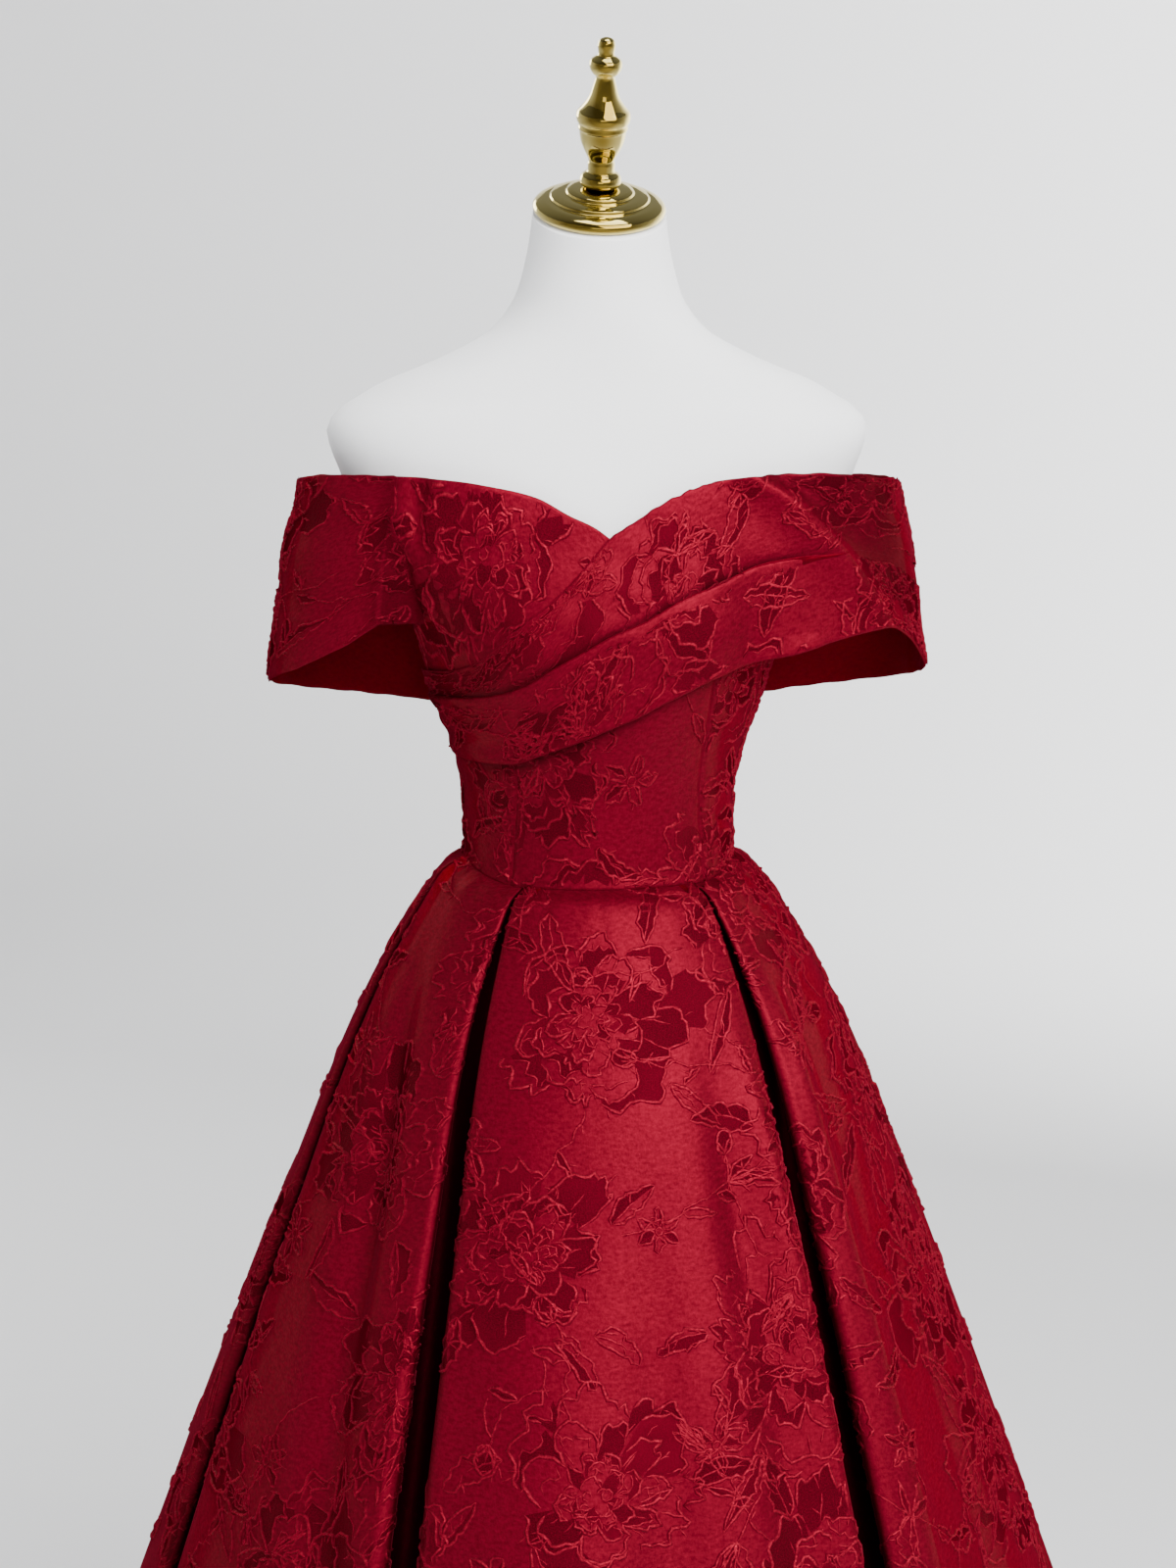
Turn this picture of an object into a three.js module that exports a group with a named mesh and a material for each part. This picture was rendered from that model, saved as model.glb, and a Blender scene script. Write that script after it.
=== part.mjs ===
// An off-the-shoulder A-line prom dress worn by a limbless dress form on a round stand.
// Millimetres, +Z up, the dress faces -Y and the viewer's right is +X.
// Azimuths are in degrees from the front centre, positive towards the viewer's right.
import * as THREE from "three";

const RAD = Math.PI / 180;

// Cloth and seams
const CLOTH = 1.3;
const SKIRT_CLOTH = 1.5;
const SEAM = 0.2;
const UNDER_LIFT = 2.6;
const OVER_LIFT = 4.9;
const PLEAT_STEP = 1.8;

// Heights
const WAIST_Z = 1050;
const WAIST_DIP = 12;
const HEM_Z = 12;

// Princess seams and side seams of the bodice
const PRINCESS_WAIST = 50;
const PRINCESS_TOP = 33;
const SIDE_SEAM = 88;

// Bust cups
const CUP_AZ = 33;
const CUP_Z = 1222;
const CUP_RISE = 5.5;
const FORM_EASE = 0.5;

// Stand
const BASE_R = 172;
const POLE_R = 12.5;
const POLE_TOP = 741.7;

// Neck cap
const NECK_TILT = 21.5;
const CAP_Z = 1543;
const CAP_Y = -5;

// Bodice sections: height, half width, front depth, back depth, roundness
const BODICE = [
  [1030, 111, 90, 84, 2.0],
  [1050, 106, 85, 80, 2.0],
  [1075, 104.5, 86, 80.5, 2.0],
  [1106, 105.6, 89.5, 82.5, 2.0],
  [1125, 109.6, 94, 85, 2.0],
  [1143, 113.7, 100, 88, 2.05],
  [1161, 121, 107, 91, 2.05],
  [1190, 130, 115, 95, 2.1],
  [1225, 140, 119, 98, 2.2],
  [1262, 150, 115, 99.5, 2.3],
  [1300, 163, 106, 100, 2.4],
  [1350, 180, 97, 99, 2.4],
];

// Shoulder band sections around the arms: height, half width, front depth, back depth, roundness
const BAND = [
  [1150, 255, 109, 96, 2.6],
  [1187, 252.5, 109, 96, 2.6],
  [1262, 243.5, 106, 96, 2.6],
  [1340, 227, 101, 96, 2.6],
  [1360, 222, 99, 96, 2.6],
];

// Form sections: height, half width, front depth, back depth, roundness
const FORM = [
  [742, 96, 64, 68, 2.0],
  [748, 128, 84, 90, 2.0],
  [762, 150, 96, 103, 2.0],
  [800, 163, 102, 111, 2.0],
  [850, 164, 101, 111, 2.0],
  [900, 157, 97, 106, 2.0],
  [950, 141, 91, 96, 2.0],
  [1000, 114, 81, 81, 2.0],
  [1030, 99, 75.5, 73, 2.0],
  [1050, 96, 75.5, 71, 2.0],
  [1075, 98.5, 80.5, 75, 2.0],
  [1106, 103.3, 87.2, 80.2, 2.0],
  [1125, 107.3, 91.7, 82.7, 2.0],
  [1143, 111.4, 97.7, 85.7, 2.05],
  [1161, 118.7, 104.7, 88.7, 2.05],
  [1190, 127.7, 112.7, 92.7, 2.1],
  [1225, 137.7, 116.7, 95.7, 2.2],
  [1252, 144.5, 113.5, 96, 2.25],
  [1272, 160, 109, 96, 2.3],
  [1290, 176, 102, 95, 2.3],
  [1315, 187, 96, 94, 2.35],
  [1344, 196, 89, 94, 2.4],
  [1362, 203, 84, 93, 2.4],
  [1377, 206.5, 80, 91, 2.3],
  [1391, 200, 76, 89, 2.2],
  [1401, 185, 73, 86, 2.0],
  [1414, 162, 69, 83, 2.0],
  [1422, 142, 67, 79, 2.0],
  [1434, 114, 64, 73, 2.0],
  [1453, 81, 60, 65, 2.0],
  [1478, 63, 56, 58, 2.0],
  [1500, 56.5, 53, 53, 2.0],
  [1518, 53, 51, 51, 2.0],
  [1536.7, 50.5, 50, 50, 2.0],
];

// Skirt flare: drop below the waist, half width
const FLARE = [
  [0, 106], [9, 122], [25, 134], [56, 154], [87, 172], [119, 188], [150, 202], [182, 215],
  [246, 240], [311, 266], [376, 291], [442, 316], [509, 340], [576, 364.5], [760, 430],
  [900, 478], [1038, 525],
];

// Rows of the skirt, as a share of the drop from waist to hem
const SKIRT_ROWS = [0, 0.007, 0.02, 0.045, 0.08, 0.125, 0.18, 0.25, 0.34, 0.45, 0.58, 0.77, 1];

// Inverted box pleats: azimuth at the waist, azimuth at the hem
const PLEATS = [
  [-137, -146], [-86.5, -76], [-43.6, -31.5], [43.6, 31.5], [86.5, 76], [137, 146],
];

// One pleat from waist to hem: share of drop, opening, edge roll, fold-back, mid depth, full depth
const PLEAT_SHAPE = [
  [0, 0.8, 1.7, 13, 3.4, 3.9],
  [0.02, 2, 2.2, 14, 3.6, 5.4],
  [0.08, 7, 4, 15, 6.5, 12],
  [0.18, 11, 6, 16, 12, 26],
  [0.34, 14, 9, 17, 18, 42],
  [0.58, 18, 12, 19, 26, 58],
  [1, 28, 15, 22, 36, 78],
];

// Soft folds: azimuth at the waist, at the hem, rise, width in degrees, start and full share of drop
const SOFT = [
  [-73, -40, -15, 4.6, 0.02, 0.2],
  [-58, -46, 5, 4.5, 0.1, 0.4],
  [-12, -9, 5, 8, 0.2, 0.6],
  [4, 3.5, -7, 5, 0.15, 0.4],
  [22, 23.5, -9, 4.2, 0.08, 0.25],
  [33, 31, 7, 3, 0.06, 0.2],
  [52, 40, 7, 3.4, 0.03, 0.15],
  [64, 54, -6, 5, 0.15, 0.5],
  [-112, -108, -12, 7, 0.08, 0.35],
  [112, 108, -12, 7, 0.08, 0.35],
  [-160, -166, -9, 6, 0.1, 0.4],
  [160, 166, -9, 6, 0.1, 0.4],
];

// Over wrap: azimuth, top, pleat line, bottom
const OVER = [
  [-86, 1196, 1178, 1132],
  [-60, 1202, 1182, 1132],
  [-49, 1209, 1185, 1132.5],
  [-40, 1223, 1189, 1134],
  [-30, 1243, 1198, 1141],
  [-22, 1258, 1209, 1147],
  [-10, 1286, 1224, 1156],
  [-1.8, 1304, 1234, 1164],
  [8.6, 1316, 1243, 1173],
  [15, 1324, 1251, 1181],
  [23, 1332, 1260, 1189],
  [33, 1340, 1268, 1199],
  [42, 1344, 1276, 1206],
  [51, 1347, 1285, 1214],
  [60, 1347.5, 1289, 1223],
  [67, 1346, 1290, 1229],
  [71, 1344, 1288, 1231],
  [76, 1341.5, 1282, 1222],
  [81, 1340, 1270, 1199],
  [85, 1339, 1263, 1188],
  [90, 1338, 1262, 1186],
];

// Under wrap: azimuth, top, bottom
const UNDER = [
  [30, 1240, 1205],
  [20, 1262, 1213],
  [8, 1288, 1220],
  [-1.8, 1302, 1222],
  [-8, 1310.5, 1222],
  [-18, 1319.5, 1221],
  [-30, 1332.5, 1215],
  [-43.7, 1341, 1198],
  [-50, 1344, 1193],
  [-56, 1346, 1190],
];

// End of the under wrap in front of the arm: height, azimuth, radius
const UNDER_END = [
  [1190, -84, 132],
  [1228, -80, 144],
  [1244, -66, 153],
  [1262, -65, 161],
  [1285, -64, 169],
  [1310, -63, 174],
  [1346, -61.5, 179],
];

// Left sleeve from its front tuck to the back: azimuth, top, bottom
const SLEEVE_L = [
  [-62.8, 1348, 1240],
  [-68, 1348, 1223],
  [-77, 1347, 1203],
  [-84.8, 1343, 1193],
  [-95, 1340, 1187],
  [-110, 1338, 1179],
  [-128, 1336, 1168],
  [-145, 1334, 1160],
  [-162, 1331, 1155],
  [-180, 1328, 1152],
];

// Right sleeve from the outside of the arm to the back: azimuth, top, bottom
const SLEEVE_R = [
  [90, 1338, 1186],
  [98, 1338, 1184],
  [110, 1337, 1178],
  [128, 1336, 1168],
  [145, 1334, 1160],
  [162, 1331, 1155],
  [180, 1328, 1152],
];

// Neck cap profile: radius, height along its own axis
const CAP_PROFILE = [
  [0, -5.5], [46, -5.5], [49.4, -3.2], [50, 0.2], [48, 3], [43, 5.4], [38, 6.2], [37, 7],
  [36.8, 8.4], [32, 9.8], [26.4, 10.4], [25.4, 11], [25.2, 12.6], [22, 14.2], [15, 15], [0, 15],
];

// Finial profile: radius, height along its own axis
const FINIAL_PROFILE = [
  [0, 15.3], [10.5, 15.3], [14.6, 17.4], [15.6, 20.6], [14.4, 24.4], [10.4, 27.6], [10.2, 30],
  [10.2, 33.5], [9.8, 36.5], [13, 43], [16.2, 50.6], [17.8, 59.4], [18.6, 60.8], [18.2, 64.4],
  [19.6, 66], [20.2, 69], [19.6, 72.6], [16.8, 76], [11.6, 83.6], [8.8, 92.4], [7.1, 99.8],
  [9.6, 102], [12, 106.6], [11.4, 111.6], [6.4, 115.4], [6, 118], [6.6, 122.8], [5, 127],
  [0, 129],
];

// Stand base profile: radius, height
const BASE_PROFILE = [
  [0, 0], [168, 0], [172, 3], [172, 8], [168, 11], [120, 15.5], [40, 18], [22, 22], [20, 30],
  [0, 30],
];

// Helpers

// Value of a column at x, smooth between rows sorted by their first column.
function smooth(rows, column, x) {
  const last = rows.length - 1;
  if (x <= rows[0][0]) return rows[0][column];
  if (x >= rows[last][0]) return rows[last][column];
  let i = 0;
  while (x > rows[i + 1][0]) i += 1;
  const slope = (k) => {
    if (k === 0 || k === last) return null;
    const before = (rows[k][column] - rows[k - 1][column]) / (rows[k][0] - rows[k - 1][0]);
    const after = (rows[k + 1][column] - rows[k][column]) / (rows[k + 1][0] - rows[k][0]);
    if (before * after <= 0) return 0;
    return (2 * before * after) / (before + after);
  };
  const step = rows[i + 1][0] - rows[i][0];
  const rise = rows[i + 1][column] - rows[i][column];
  const m0 = slope(i) ?? rise / step;
  const m1 = slope(i + 1) ?? rise / step;
  const t = (x - rows[i][0]) / step;
  const t2 = t * t;
  const t3 = t2 * t;
  return rows[i][column] * (2 * t3 - 3 * t2 + 1) + m0 * step * (t3 - 2 * t2 + t)
    + rows[i + 1][column] * (3 * t2 - 2 * t3) + m1 * step * (t3 - t2);
}

function ramp(x, low, high) {
  const t = Math.min(1, Math.max(0, (x - low) / (high - low)));
  return t * t * (3 - 2 * t);
}

function mix(a, b, t) {
  return a + (b - a) * t;
}

function sorted(rows) {
  return [...rows].sort((a, b) => a[0] - b[0]);
}

// Radius of a rounded section at an azimuth.
function section(rows, azimuth, z) {
  const a = azimuth * RAD;
  const half = smooth(rows, 1, z);
  const depth = smooth(rows, Math.cos(a) > 0 ? 2 : 3, z);
  const power = smooth(rows, 4, z);
  const x = Math.abs(Math.sin(a)) / half;
  const y = Math.abs(Math.cos(a)) / depth;
  return (x ** power + y ** power) ** (-1 / power);
}

function cups(azimuth, z) {
  const a = (Math.abs(azimuth) - CUP_AZ) / 17;
  const h = (z - CUP_Z) / 36;
  return CUP_RISE * Math.exp(-a * a - h * h);
}

function bodiceRadius(azimuth, z) {
  return section(BODICE, azimuth, z) + cups(azimuth, z);
}

function formRadius(azimuth, z) {
  return section(FORM, azimuth, z) + cups(azimuth, z) - FORM_EASE;
}

// The shoulder bands rest on the bodice and stand away from it around the arms.
// Freedom 0 keeps a band on the bodice, 1 lets it stand free.
function bandRadius(azimuth, z, lift, freedom) {
  const onBody = bodiceRadius(azimuth, z) + UNDER_LIFT;
  const free = mix(onBody - 25, section(BAND, azimuth, z), freedom);
  const blend = 6;
  const swell = blend * Math.log1p(Math.exp(-Math.abs(onBody - free) / blend));
  return Math.max(onBody, free) + swell * ramp(free - onBody, -30, 0) + lift;
}

// Azimuth that leaves a set distance to the centre back.
function backEdge(radius) {
  return 180 - SEAM / radius / RAD;
}

function at(azimuth, radius, z) {
  const a = azimuth * RAD;
  return new THREE.Vector3(radius * Math.sin(a), -radius * Math.cos(a), z);
}

function waistZ(azimuth) {
  return WAIST_Z - WAIST_DIP * (1 - ramp(Math.abs(azimuth), 45, 90));
}

// Closed body from two grids of points, the outer face first.
function shell(outer, inner) {
  const nu = outer.length;
  const nv = outer[0].length;
  const positions = [];
  for (const grid of [outer, inner]) {
    for (const row of grid) for (const p of row) positions.push(p.x, p.y, p.z);
  }
  const index = [];
  const at0 = (i, j) => i * nv + j;
  const at1 = (i, j) => nu * nv + i * nv + j;
  const quad = (a, b, c, d) => index.push(a, b, c, a, c, d);
  for (let i = 0; i < nu - 1; i += 1) {
    for (let j = 0; j < nv - 1; j += 1) {
      quad(at0(i, j), at0(i + 1, j), at0(i + 1, j + 1), at0(i, j + 1));
      quad(at1(i, j), at1(i, j + 1), at1(i + 1, j + 1), at1(i + 1, j));
    }
  }
  for (let i = 0; i < nu - 1; i += 1) {
    quad(at0(i, 0), at1(i, 0), at1(i + 1, 0), at0(i + 1, 0));
    quad(at0(i, nv - 1), at0(i + 1, nv - 1), at1(i + 1, nv - 1), at1(i, nv - 1));
  }
  for (let j = 0; j < nv - 1; j += 1) {
    quad(at0(0, j), at0(0, j + 1), at1(0, j + 1), at1(0, j));
    quad(at0(nu - 1, j), at1(nu - 1, j), at1(nu - 1, j + 1), at0(nu - 1, j + 1));
  }
  return closed(positions, index);
}

// Geometry whose faces look outward.
function closed(positions, index) {
  let volume = 0;
  const p = (k) => new THREE.Vector3(positions[3 * k], positions[3 * k + 1], positions[3 * k + 2]);
  for (let k = 0; k < index.length; k += 3) {
    volume += p(index[k]).dot(p(index[k + 1]).cross(p(index[k + 2])));
  }
  const faces = [];
  for (let k = 0; k < index.length; k += 3) {
    if (volume > 0) faces.push(index[k], index[k + 1], index[k + 2]);
    else faces.push(index[k], index[k + 2], index[k + 1]);
  }
  const geometry = new THREE.BufferGeometry();
  geometry.setAttribute("position", new THREE.Float32BufferAttribute(positions, 3));
  geometry.setIndex(faces);
  geometry.computeVertexNormals();
  return geometry;
}

// Cloth of even thickness under a grid of face points, its back towards the wearer.
function cloth(grid, thickness) {
  const nu = grid.length;
  const nv = grid[0].length;
  const normals = grid.map((row, i) => row.map((p, j) => {
    const parts = [];
    for (const [si, sj] of [[-1, -1], [1, -1], [1, 1], [-1, 1]]) {
      const a = grid[i + si]?.[j];
      const b = grid[i][j + sj];
      if (!a || !b) continue;
      const n = a.clone().sub(p).cross(b.clone().sub(p)).multiplyScalar(si * sj);
      if (n.lengthSq() > 1e-9) parts.push(n.normalize());
    }
    const n = parts.reduce((sum, part) => sum.add(part), new THREE.Vector3()).normalize();
    const square = Math.max(0.6, Math.min(...parts.map((part) => part.dot(n))));
    return n.divideScalar(square);
  }));
  const mid = grid[nu >> 1][nv >> 1];
  const side = Math.sign(normals[nu >> 1][nv >> 1].dot(new THREE.Vector3(mid.x, mid.y, 0)));
  const inner = grid.map((row, i) => row.map((p, j) => (
    p.clone().addScaledVector(normals[i][j], -side * thickness)
  )));
  return shell(grid, inner);
}

// Round part from a profile that starts and ends on its axis.
function turned(profile, steps) {
  const points = profile.map(([radius, height]) => new THREE.Vector2(radius, height));
  const geometry = new THREE.LatheGeometry(points, steps);
  geometry.rotateX(Math.PI / 2);
  return geometry;
}

// Stack of closed rings with a flat cap at each end.
function ringStack(rings) {
  const count = rings[0].length;
  const positions = [];
  const index = [];
  for (const ring of rings) for (const p of ring) positions.push(p.x, p.y, p.z);
  for (let i = 0; i < rings.length - 1; i += 1) {
    for (let k = 0; k < count; k += 1) {
      const n = (k + 1) % count;
      const a = i * count;
      const b = a + count;
      index.push(a + k, a + n, b + n, a + k, b + n, b + k);
    }
  }
  const ends = [[rings[0], 0, 1], [rings[rings.length - 1], (rings.length - 1) * count, 0]];
  for (const [ring, first, flip] of ends) {
    const centre = ring.reduce((sum, p) => sum.add(p), new THREE.Vector3()).divideScalar(count);
    const c = positions.length / 3;
    positions.push(centre.x, centre.y, centre.z);
    for (let k = 0; k < count; k += 1) {
      const n = (k + 1) % count;
      if (flip) index.push(c, first + n, first + k);
      else index.push(c, first + k, first + n);
    }
  }
  return closed(positions, index);
}

// Materials
const SATIN = { color: 0xa3152c, roughness: 0.45, metalness: 0.1 };
const JERSEY = { color: 0xeeeeee, roughness: 0.9, metalness: 0 };
const GOLD = { color: 0xd4af37, roughness: 0.12, metalness: 1 };
const STEEL = { color: 0xe8e8e8, roughness: 0.4, metalness: 0.2 };

const dress = new THREE.Group();
dress.name = "prom_dress_on_form";

function add(name, geometry, material) {
  const mesh = new THREE.Mesh(geometry, new THREE.MeshStandardMaterial(material));
  mesh.name = name;
  dress.add(mesh);
  return mesh;
}

// Bodice

// Top edge of the bodice, covered by the wraps.
function bodiceTop(azimuth) {
  const a = Math.abs(azimuth);
  const cup = Math.exp(-(((a - CUP_AZ) / 20) ** 2));
  return 1237 + 20 * cup;
}

// Azimuth of the princess seam at a height.
function princess(z) {
  return mix(PRINCESS_WAIST, PRINCESS_TOP, ramp(z, WAIST_Z - 10, 1257));
}

function bodicePanel(left, right, columns, rows) {
  const grid = [];
  for (let i = 0; i <= columns; i += 1) {
    const column = [];
    for (let j = 0; j <= rows; j += 1) {
      const guess = mix(1040, 1245, j / rows);
      const azimuth = mix(left(guess), right(guess), i / columns);
      const z = mix(waistZ(azimuth) + 1.5 * SEAM, bodiceTop(azimuth), j / rows);
      column.push(at(azimuth, bodiceRadius(azimuth, z), z));
    }
    grid.push(column);
  }
  return cloth(grid, CLOTH);
}

const seamGap = (z) => (1.3 * SEAM) / bodiceRadius(45, z) / RAD;
add("bodice_front", bodicePanel(
  (z) => -princess(z) + seamGap(z), (z) => princess(z) - seamGap(z), 14, 11,
), SATIN);
for (const [side, s] of [["l", -1], ["r", 1]]) {
  add(`bodice_side_${side}`, bodicePanel(
    (z) => s * (princess(z) + seamGap(z)), (z) => s * (SIDE_SEAM - seamGap(z)), 7, 11,
  ), SATIN);
  add(`bodice_back_${side}`, bodicePanel(
    (z) => s * (SIDE_SEAM + seamGap(z)), (z) => s * backEdge(85), 12, 11,
  ), SATIN);
}

// Wraps

// Grid of a band: stations along it, rows across it as heights and lifts.
function bandGrid(stations, rowsAt, freedom) {
  return stations.map((azimuth) => rowsAt(azimuth).map(([z, lift]) => (
    at(azimuth, bandRadius(azimuth, z, lift, freedom(azimuth, z)), z)
  )));
}

function spread(from, to, count) {
  return Array.from({ length: count + 1 }, (_, i) => mix(from, to, i / count));
}

const overRows = sorted(OVER);
function overAcross(azimuth) {
  const top = smooth(overRows, 1, azimuth);
  const fold = smooth(overRows, 2, azimuth);
  const bottom = smooth(overRows, 3, azimuth);
  const step = PLEAT_STEP * (1 - ramp(azimuth, 48, 64));
  const lift = OVER_LIFT - UNDER_LIFT;
  return [
    [top, lift], [mix(top, fold, 0.5), lift], [fold + 5, lift], [fold, lift + step],
    [mix(fold, bottom, 0.5), lift + step], [bottom, lift + step],
  ];
}
const overStations = [
  ...spread(-86, 48, 22), ...spread(54, 66, 2), 70.5, 74, 78, 82, 86, 89.95,
];
const overFreedom = (azimuth) => ramp(azimuth, 34, 54);
add("wrap_over", cloth(bandGrid(overStations, overAcross, overFreedom), CLOTH), SATIN);

const underRows = sorted(UNDER);
const underFreedom = (azimuth, z) => 0.85 * ramp(z, 1195, 1290) * ramp(-azimuth, 10, 45);
function underGrid() {
  const grid = spread(30, -56, 14).map((azimuth) => {
    const top = smooth(underRows, 1, azimuth);
    const bottom = smooth(underRows, 2, azimuth);
    return spread(top, bottom, 9).map((z) => (
      at(azimuth, bandRadius(azimuth, z, 0, underFreedom(azimuth, z)), z)
    ));
  });
  for (const share of [0.35, 0.7, 1]) {
    grid.push(spread(1346, 1190, 9).map((z) => {
      const azimuth = mix(-56, smooth(UNDER_END, 1, z), share);
      const start = bandRadius(-56, z, 0, underFreedom(-56, z));
      const end = smooth(UNDER_END, 2, z) + UNDER_LIFT;
      const bodied = bodiceRadius(azimuth, z) + UNDER_LIFT;
      const radius = mix(start, end, ramp(share, 0, 1));
      return at(azimuth, z < 1240 ? mix(bodied, radius, ramp(z, 1215, 1240)) : radius, z);
    }));
  }
  return grid;
}
add("wrap_under", cloth(underGrid(), CLOTH), SATIN);

// Sleeves

const sleeveRowsL = sorted(SLEEVE_L);
function sleeveLeftGrid() {
  const top = 1348;
  const bottom = 1238;
  const tuck = spread(top, bottom, 5).map((z) => {
    const azimuth = smooth(UNDER_END, 1, Math.max(z, 1244)) - 0.45;
    return at(azimuth, smooth(UNDER_END, 2, Math.max(z, 1244)) + UNDER_LIFT, z);
  });
  const stations = [-62.8, -64.6, -68, -73, -78, -83, ...spread(-89, -backEdge(95), 15)];
  const around = stations.map((azimuth) => {
    const high = smooth(sleeveRowsL, 1, azimuth);
    const low = smooth(sleeveRowsL, 2, azimuth);
    return spread(high, low, 5).map((z) => at(azimuth, bandRadius(azimuth, z, 0.6, 1), z));
  });
  return [tuck, ...around];
}
add("sleeve_l", cloth(sleeveLeftGrid(), CLOTH), SATIN);

const sleeveRowsR = sorted(SLEEVE_R);
const sleeveRightStations = spread(90.05, backEdge(95), 15);
add("sleeve_r", cloth(bandGrid(sleeveRightStations, (azimuth) => {
  const high = smooth(sleeveRowsR, 1, azimuth);
  const low = smooth(sleeveRowsR, 2, azimuth);
  const lift = mix(OVER_LIFT - UNDER_LIFT, 0.6, ramp(azimuth, 95, 130));
  return spread(high, low, 5).map((z) => [z, lift]);
}, () => 1), CLOTH), SATIN);

// Skirt

function flareRadius(azimuth, drop) {
  const a = azimuth * RAD;
  const half = smooth(FLARE, 1, drop);
  const depth = Math.cos(a) > 0 ? 85 + (half - 106) * 0.98 : 80 + (half - 106);
  return Math.hypot(Math.sin(a) / half, Math.cos(a) / depth) ** -1;
}

// Fold positions swing quickly near the waist and settle towards the hem.
function swing(atWaist, atHem, share) {
  return atHem + (atWaist - atHem) * Math.exp(-3 * share);
}

function softRise(azimuth, share) {
  let rise = 0;
  for (const [waist, hem, height, width, start, full] of SOFT) {
    const a = (azimuth - swing(waist, hem, share)) / width;
    rise += height * ramp(share, start, full) * Math.exp(-a * a);
  }
  return rise;
}

function skirtZ(azimuth, share) {
  return mix(waistZ(azimuth) - 1.5 * SEAM, HEM_Z, share);
}

function skirtPoint(azimuth, share) {
  const drop = share * (WAIST_Z - HEM_Z);
  const radius = flareRadius(azimuth, drop) + softRise(azimuth, share);
  return at(azimuth, radius, skirtZ(azimuth, share));
}

function azimuthOf(p) {
  return Math.atan2(p.x, -p.y) / RAD;
}

// Half of a pleat in plan, from the panel's face to the pleat's bottom.
function pleatHalf(pleat, side, share) {
  const centre = swing(pleat[0], pleat[1], share);
  const [open, roll, back, mid, full] = [1, 2, 3, 4, 5].map((c) => smooth(PLEAT_SHAPE, c, share));
  const edge = open / 2;
  const origin = skirtPoint(centre, share);
  const step = (edge + roll) / Math.hypot(origin.x, origin.y) / RAD;
  const face = skirtPoint(centre + side * step, share);
  const along = at(centre + 90, 1, 0);
  const inward = at(centre, -1, 0);
  const place = (u, v) => {
    const p = origin.clone().addScaledVector(along, side * u).addScaledVector(inward, v);
    return p.setZ(skirtZ(azimuthOf(p), share));
  };
  return [
    face,
    place(edge, roll),
    place(edge + Math.min(roll, back * 0.6), Math.max(2 * roll, mid * 0.82)),
    place(edge + back, mid),
    place(edge + mix(back, back * 0.62, ramp(share, 0, 0.2)), full - 0.1 * (full - 3.9)),
    place(0.2, full),
  ];
}

// Offset of an open line in plan towards its left or right.
function offsetLine(points, distance) {
  return points.map((p, i) => {
    const before = i > 0 ? p.clone().sub(points[i - 1]).setZ(0).normalize() : null;
    const after = i < points.length - 1 ? points[i + 1].clone().sub(p).setZ(0).normalize() : null;
    const first = before ?? after;
    const second = after ?? before;
    const n = new THREE.Vector3(-first.y - second.y, first.x + second.x, 0).normalize();
    const square = Math.max(0.55, n.dot(new THREE.Vector3(-first.y, first.x, 0)));
    return p.clone().addScaledVector(n, distance / square);
  });
}

function skirtPanel(leftPleat, rightPleat, columns, backSide) {
  const outer = [];
  const inner = [];
  for (const share of SKIRT_ROWS) {
    const leftHalf = leftPleat ? pleatHalf(leftPleat, 1, share).reverse() : [];
    const rightHalf = rightPleat ? pleatHalf(rightPleat, -1, share) : [];
    const end = backSide * backEdge(flareRadius(180, share * (WAIST_Z - HEM_Z)));
    const from = leftPleat ? azimuthOf(leftHalf[leftHalf.length - 1]) : end;
    const to = rightPleat ? azimuthOf(rightHalf[0]) : end;
    const face = [];
    const first = leftPleat ? 1 : 0;
    const last = rightPleat ? columns - 1 : columns;
    for (let i = first; i <= last; i += 1) face.push(skirtPoint(mix(from, to, i / columns), share));
    const line = [...leftHalf, ...face, ...rightHalf];
    outer.push(line);
    inner.push(offsetLine(line, SKIRT_CLOTH));
  }
  return shell(outer, inner);
}

const [BACK_L, SIDE_L, FRONT_L, FRONT_R, SIDE_R, BACK_R] = PLEATS;
add("skirt_front", skirtPanel(FRONT_L, FRONT_R, 17, 0), SATIN);
add("skirt_side_front_l", skirtPanel(SIDE_L, FRONT_L, 12, 0), SATIN);
add("skirt_side_front_r", skirtPanel(FRONT_R, SIDE_R, 12, 0), SATIN);
add("skirt_side_back_l", skirtPanel(BACK_L, SIDE_L, 12, 0), SATIN);
add("skirt_side_back_r", skirtPanel(SIDE_R, BACK_R, 12, 0), SATIN);
add("skirt_back_r", skirtPanel(BACK_R, null, 8, 1), SATIN);
add("skirt_back_l", skirtPanel(null, BACK_L, 8, -1), SATIN);

// Dress form

const FORM_STEPS = 34;
const formRings = FORM.map(([z]) => {
  const lean = Math.tan(NECK_TILT * RAD) * ramp(z, 1440, 1520);
  return Array.from({ length: FORM_STEPS }, (_, k) => {
    const azimuth = (360 * k) / FORM_STEPS;
    const wrapped = azimuth > 180 ? azimuth - 360 : azimuth;
    const p = at(wrapped, formRadius(wrapped, z), z);
    p.z += lean * p.y;
    p.y += CAP_Y * ramp(z, 1400, 1500);
    return p;
  });
});
add("form_body", ringStack(formRings), JERSEY);

function onNeck(geometry) {
  geometry.rotateX(NECK_TILT * RAD);
  geometry.translate(0, CAP_Y, CAP_Z);
  return geometry;
}
add("neck_cap", onNeck(turned(CAP_PROFILE, 32)), GOLD);
add("finial", onNeck(turned(FINIAL_PROFILE, 22)), GOLD);

// Stand

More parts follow.
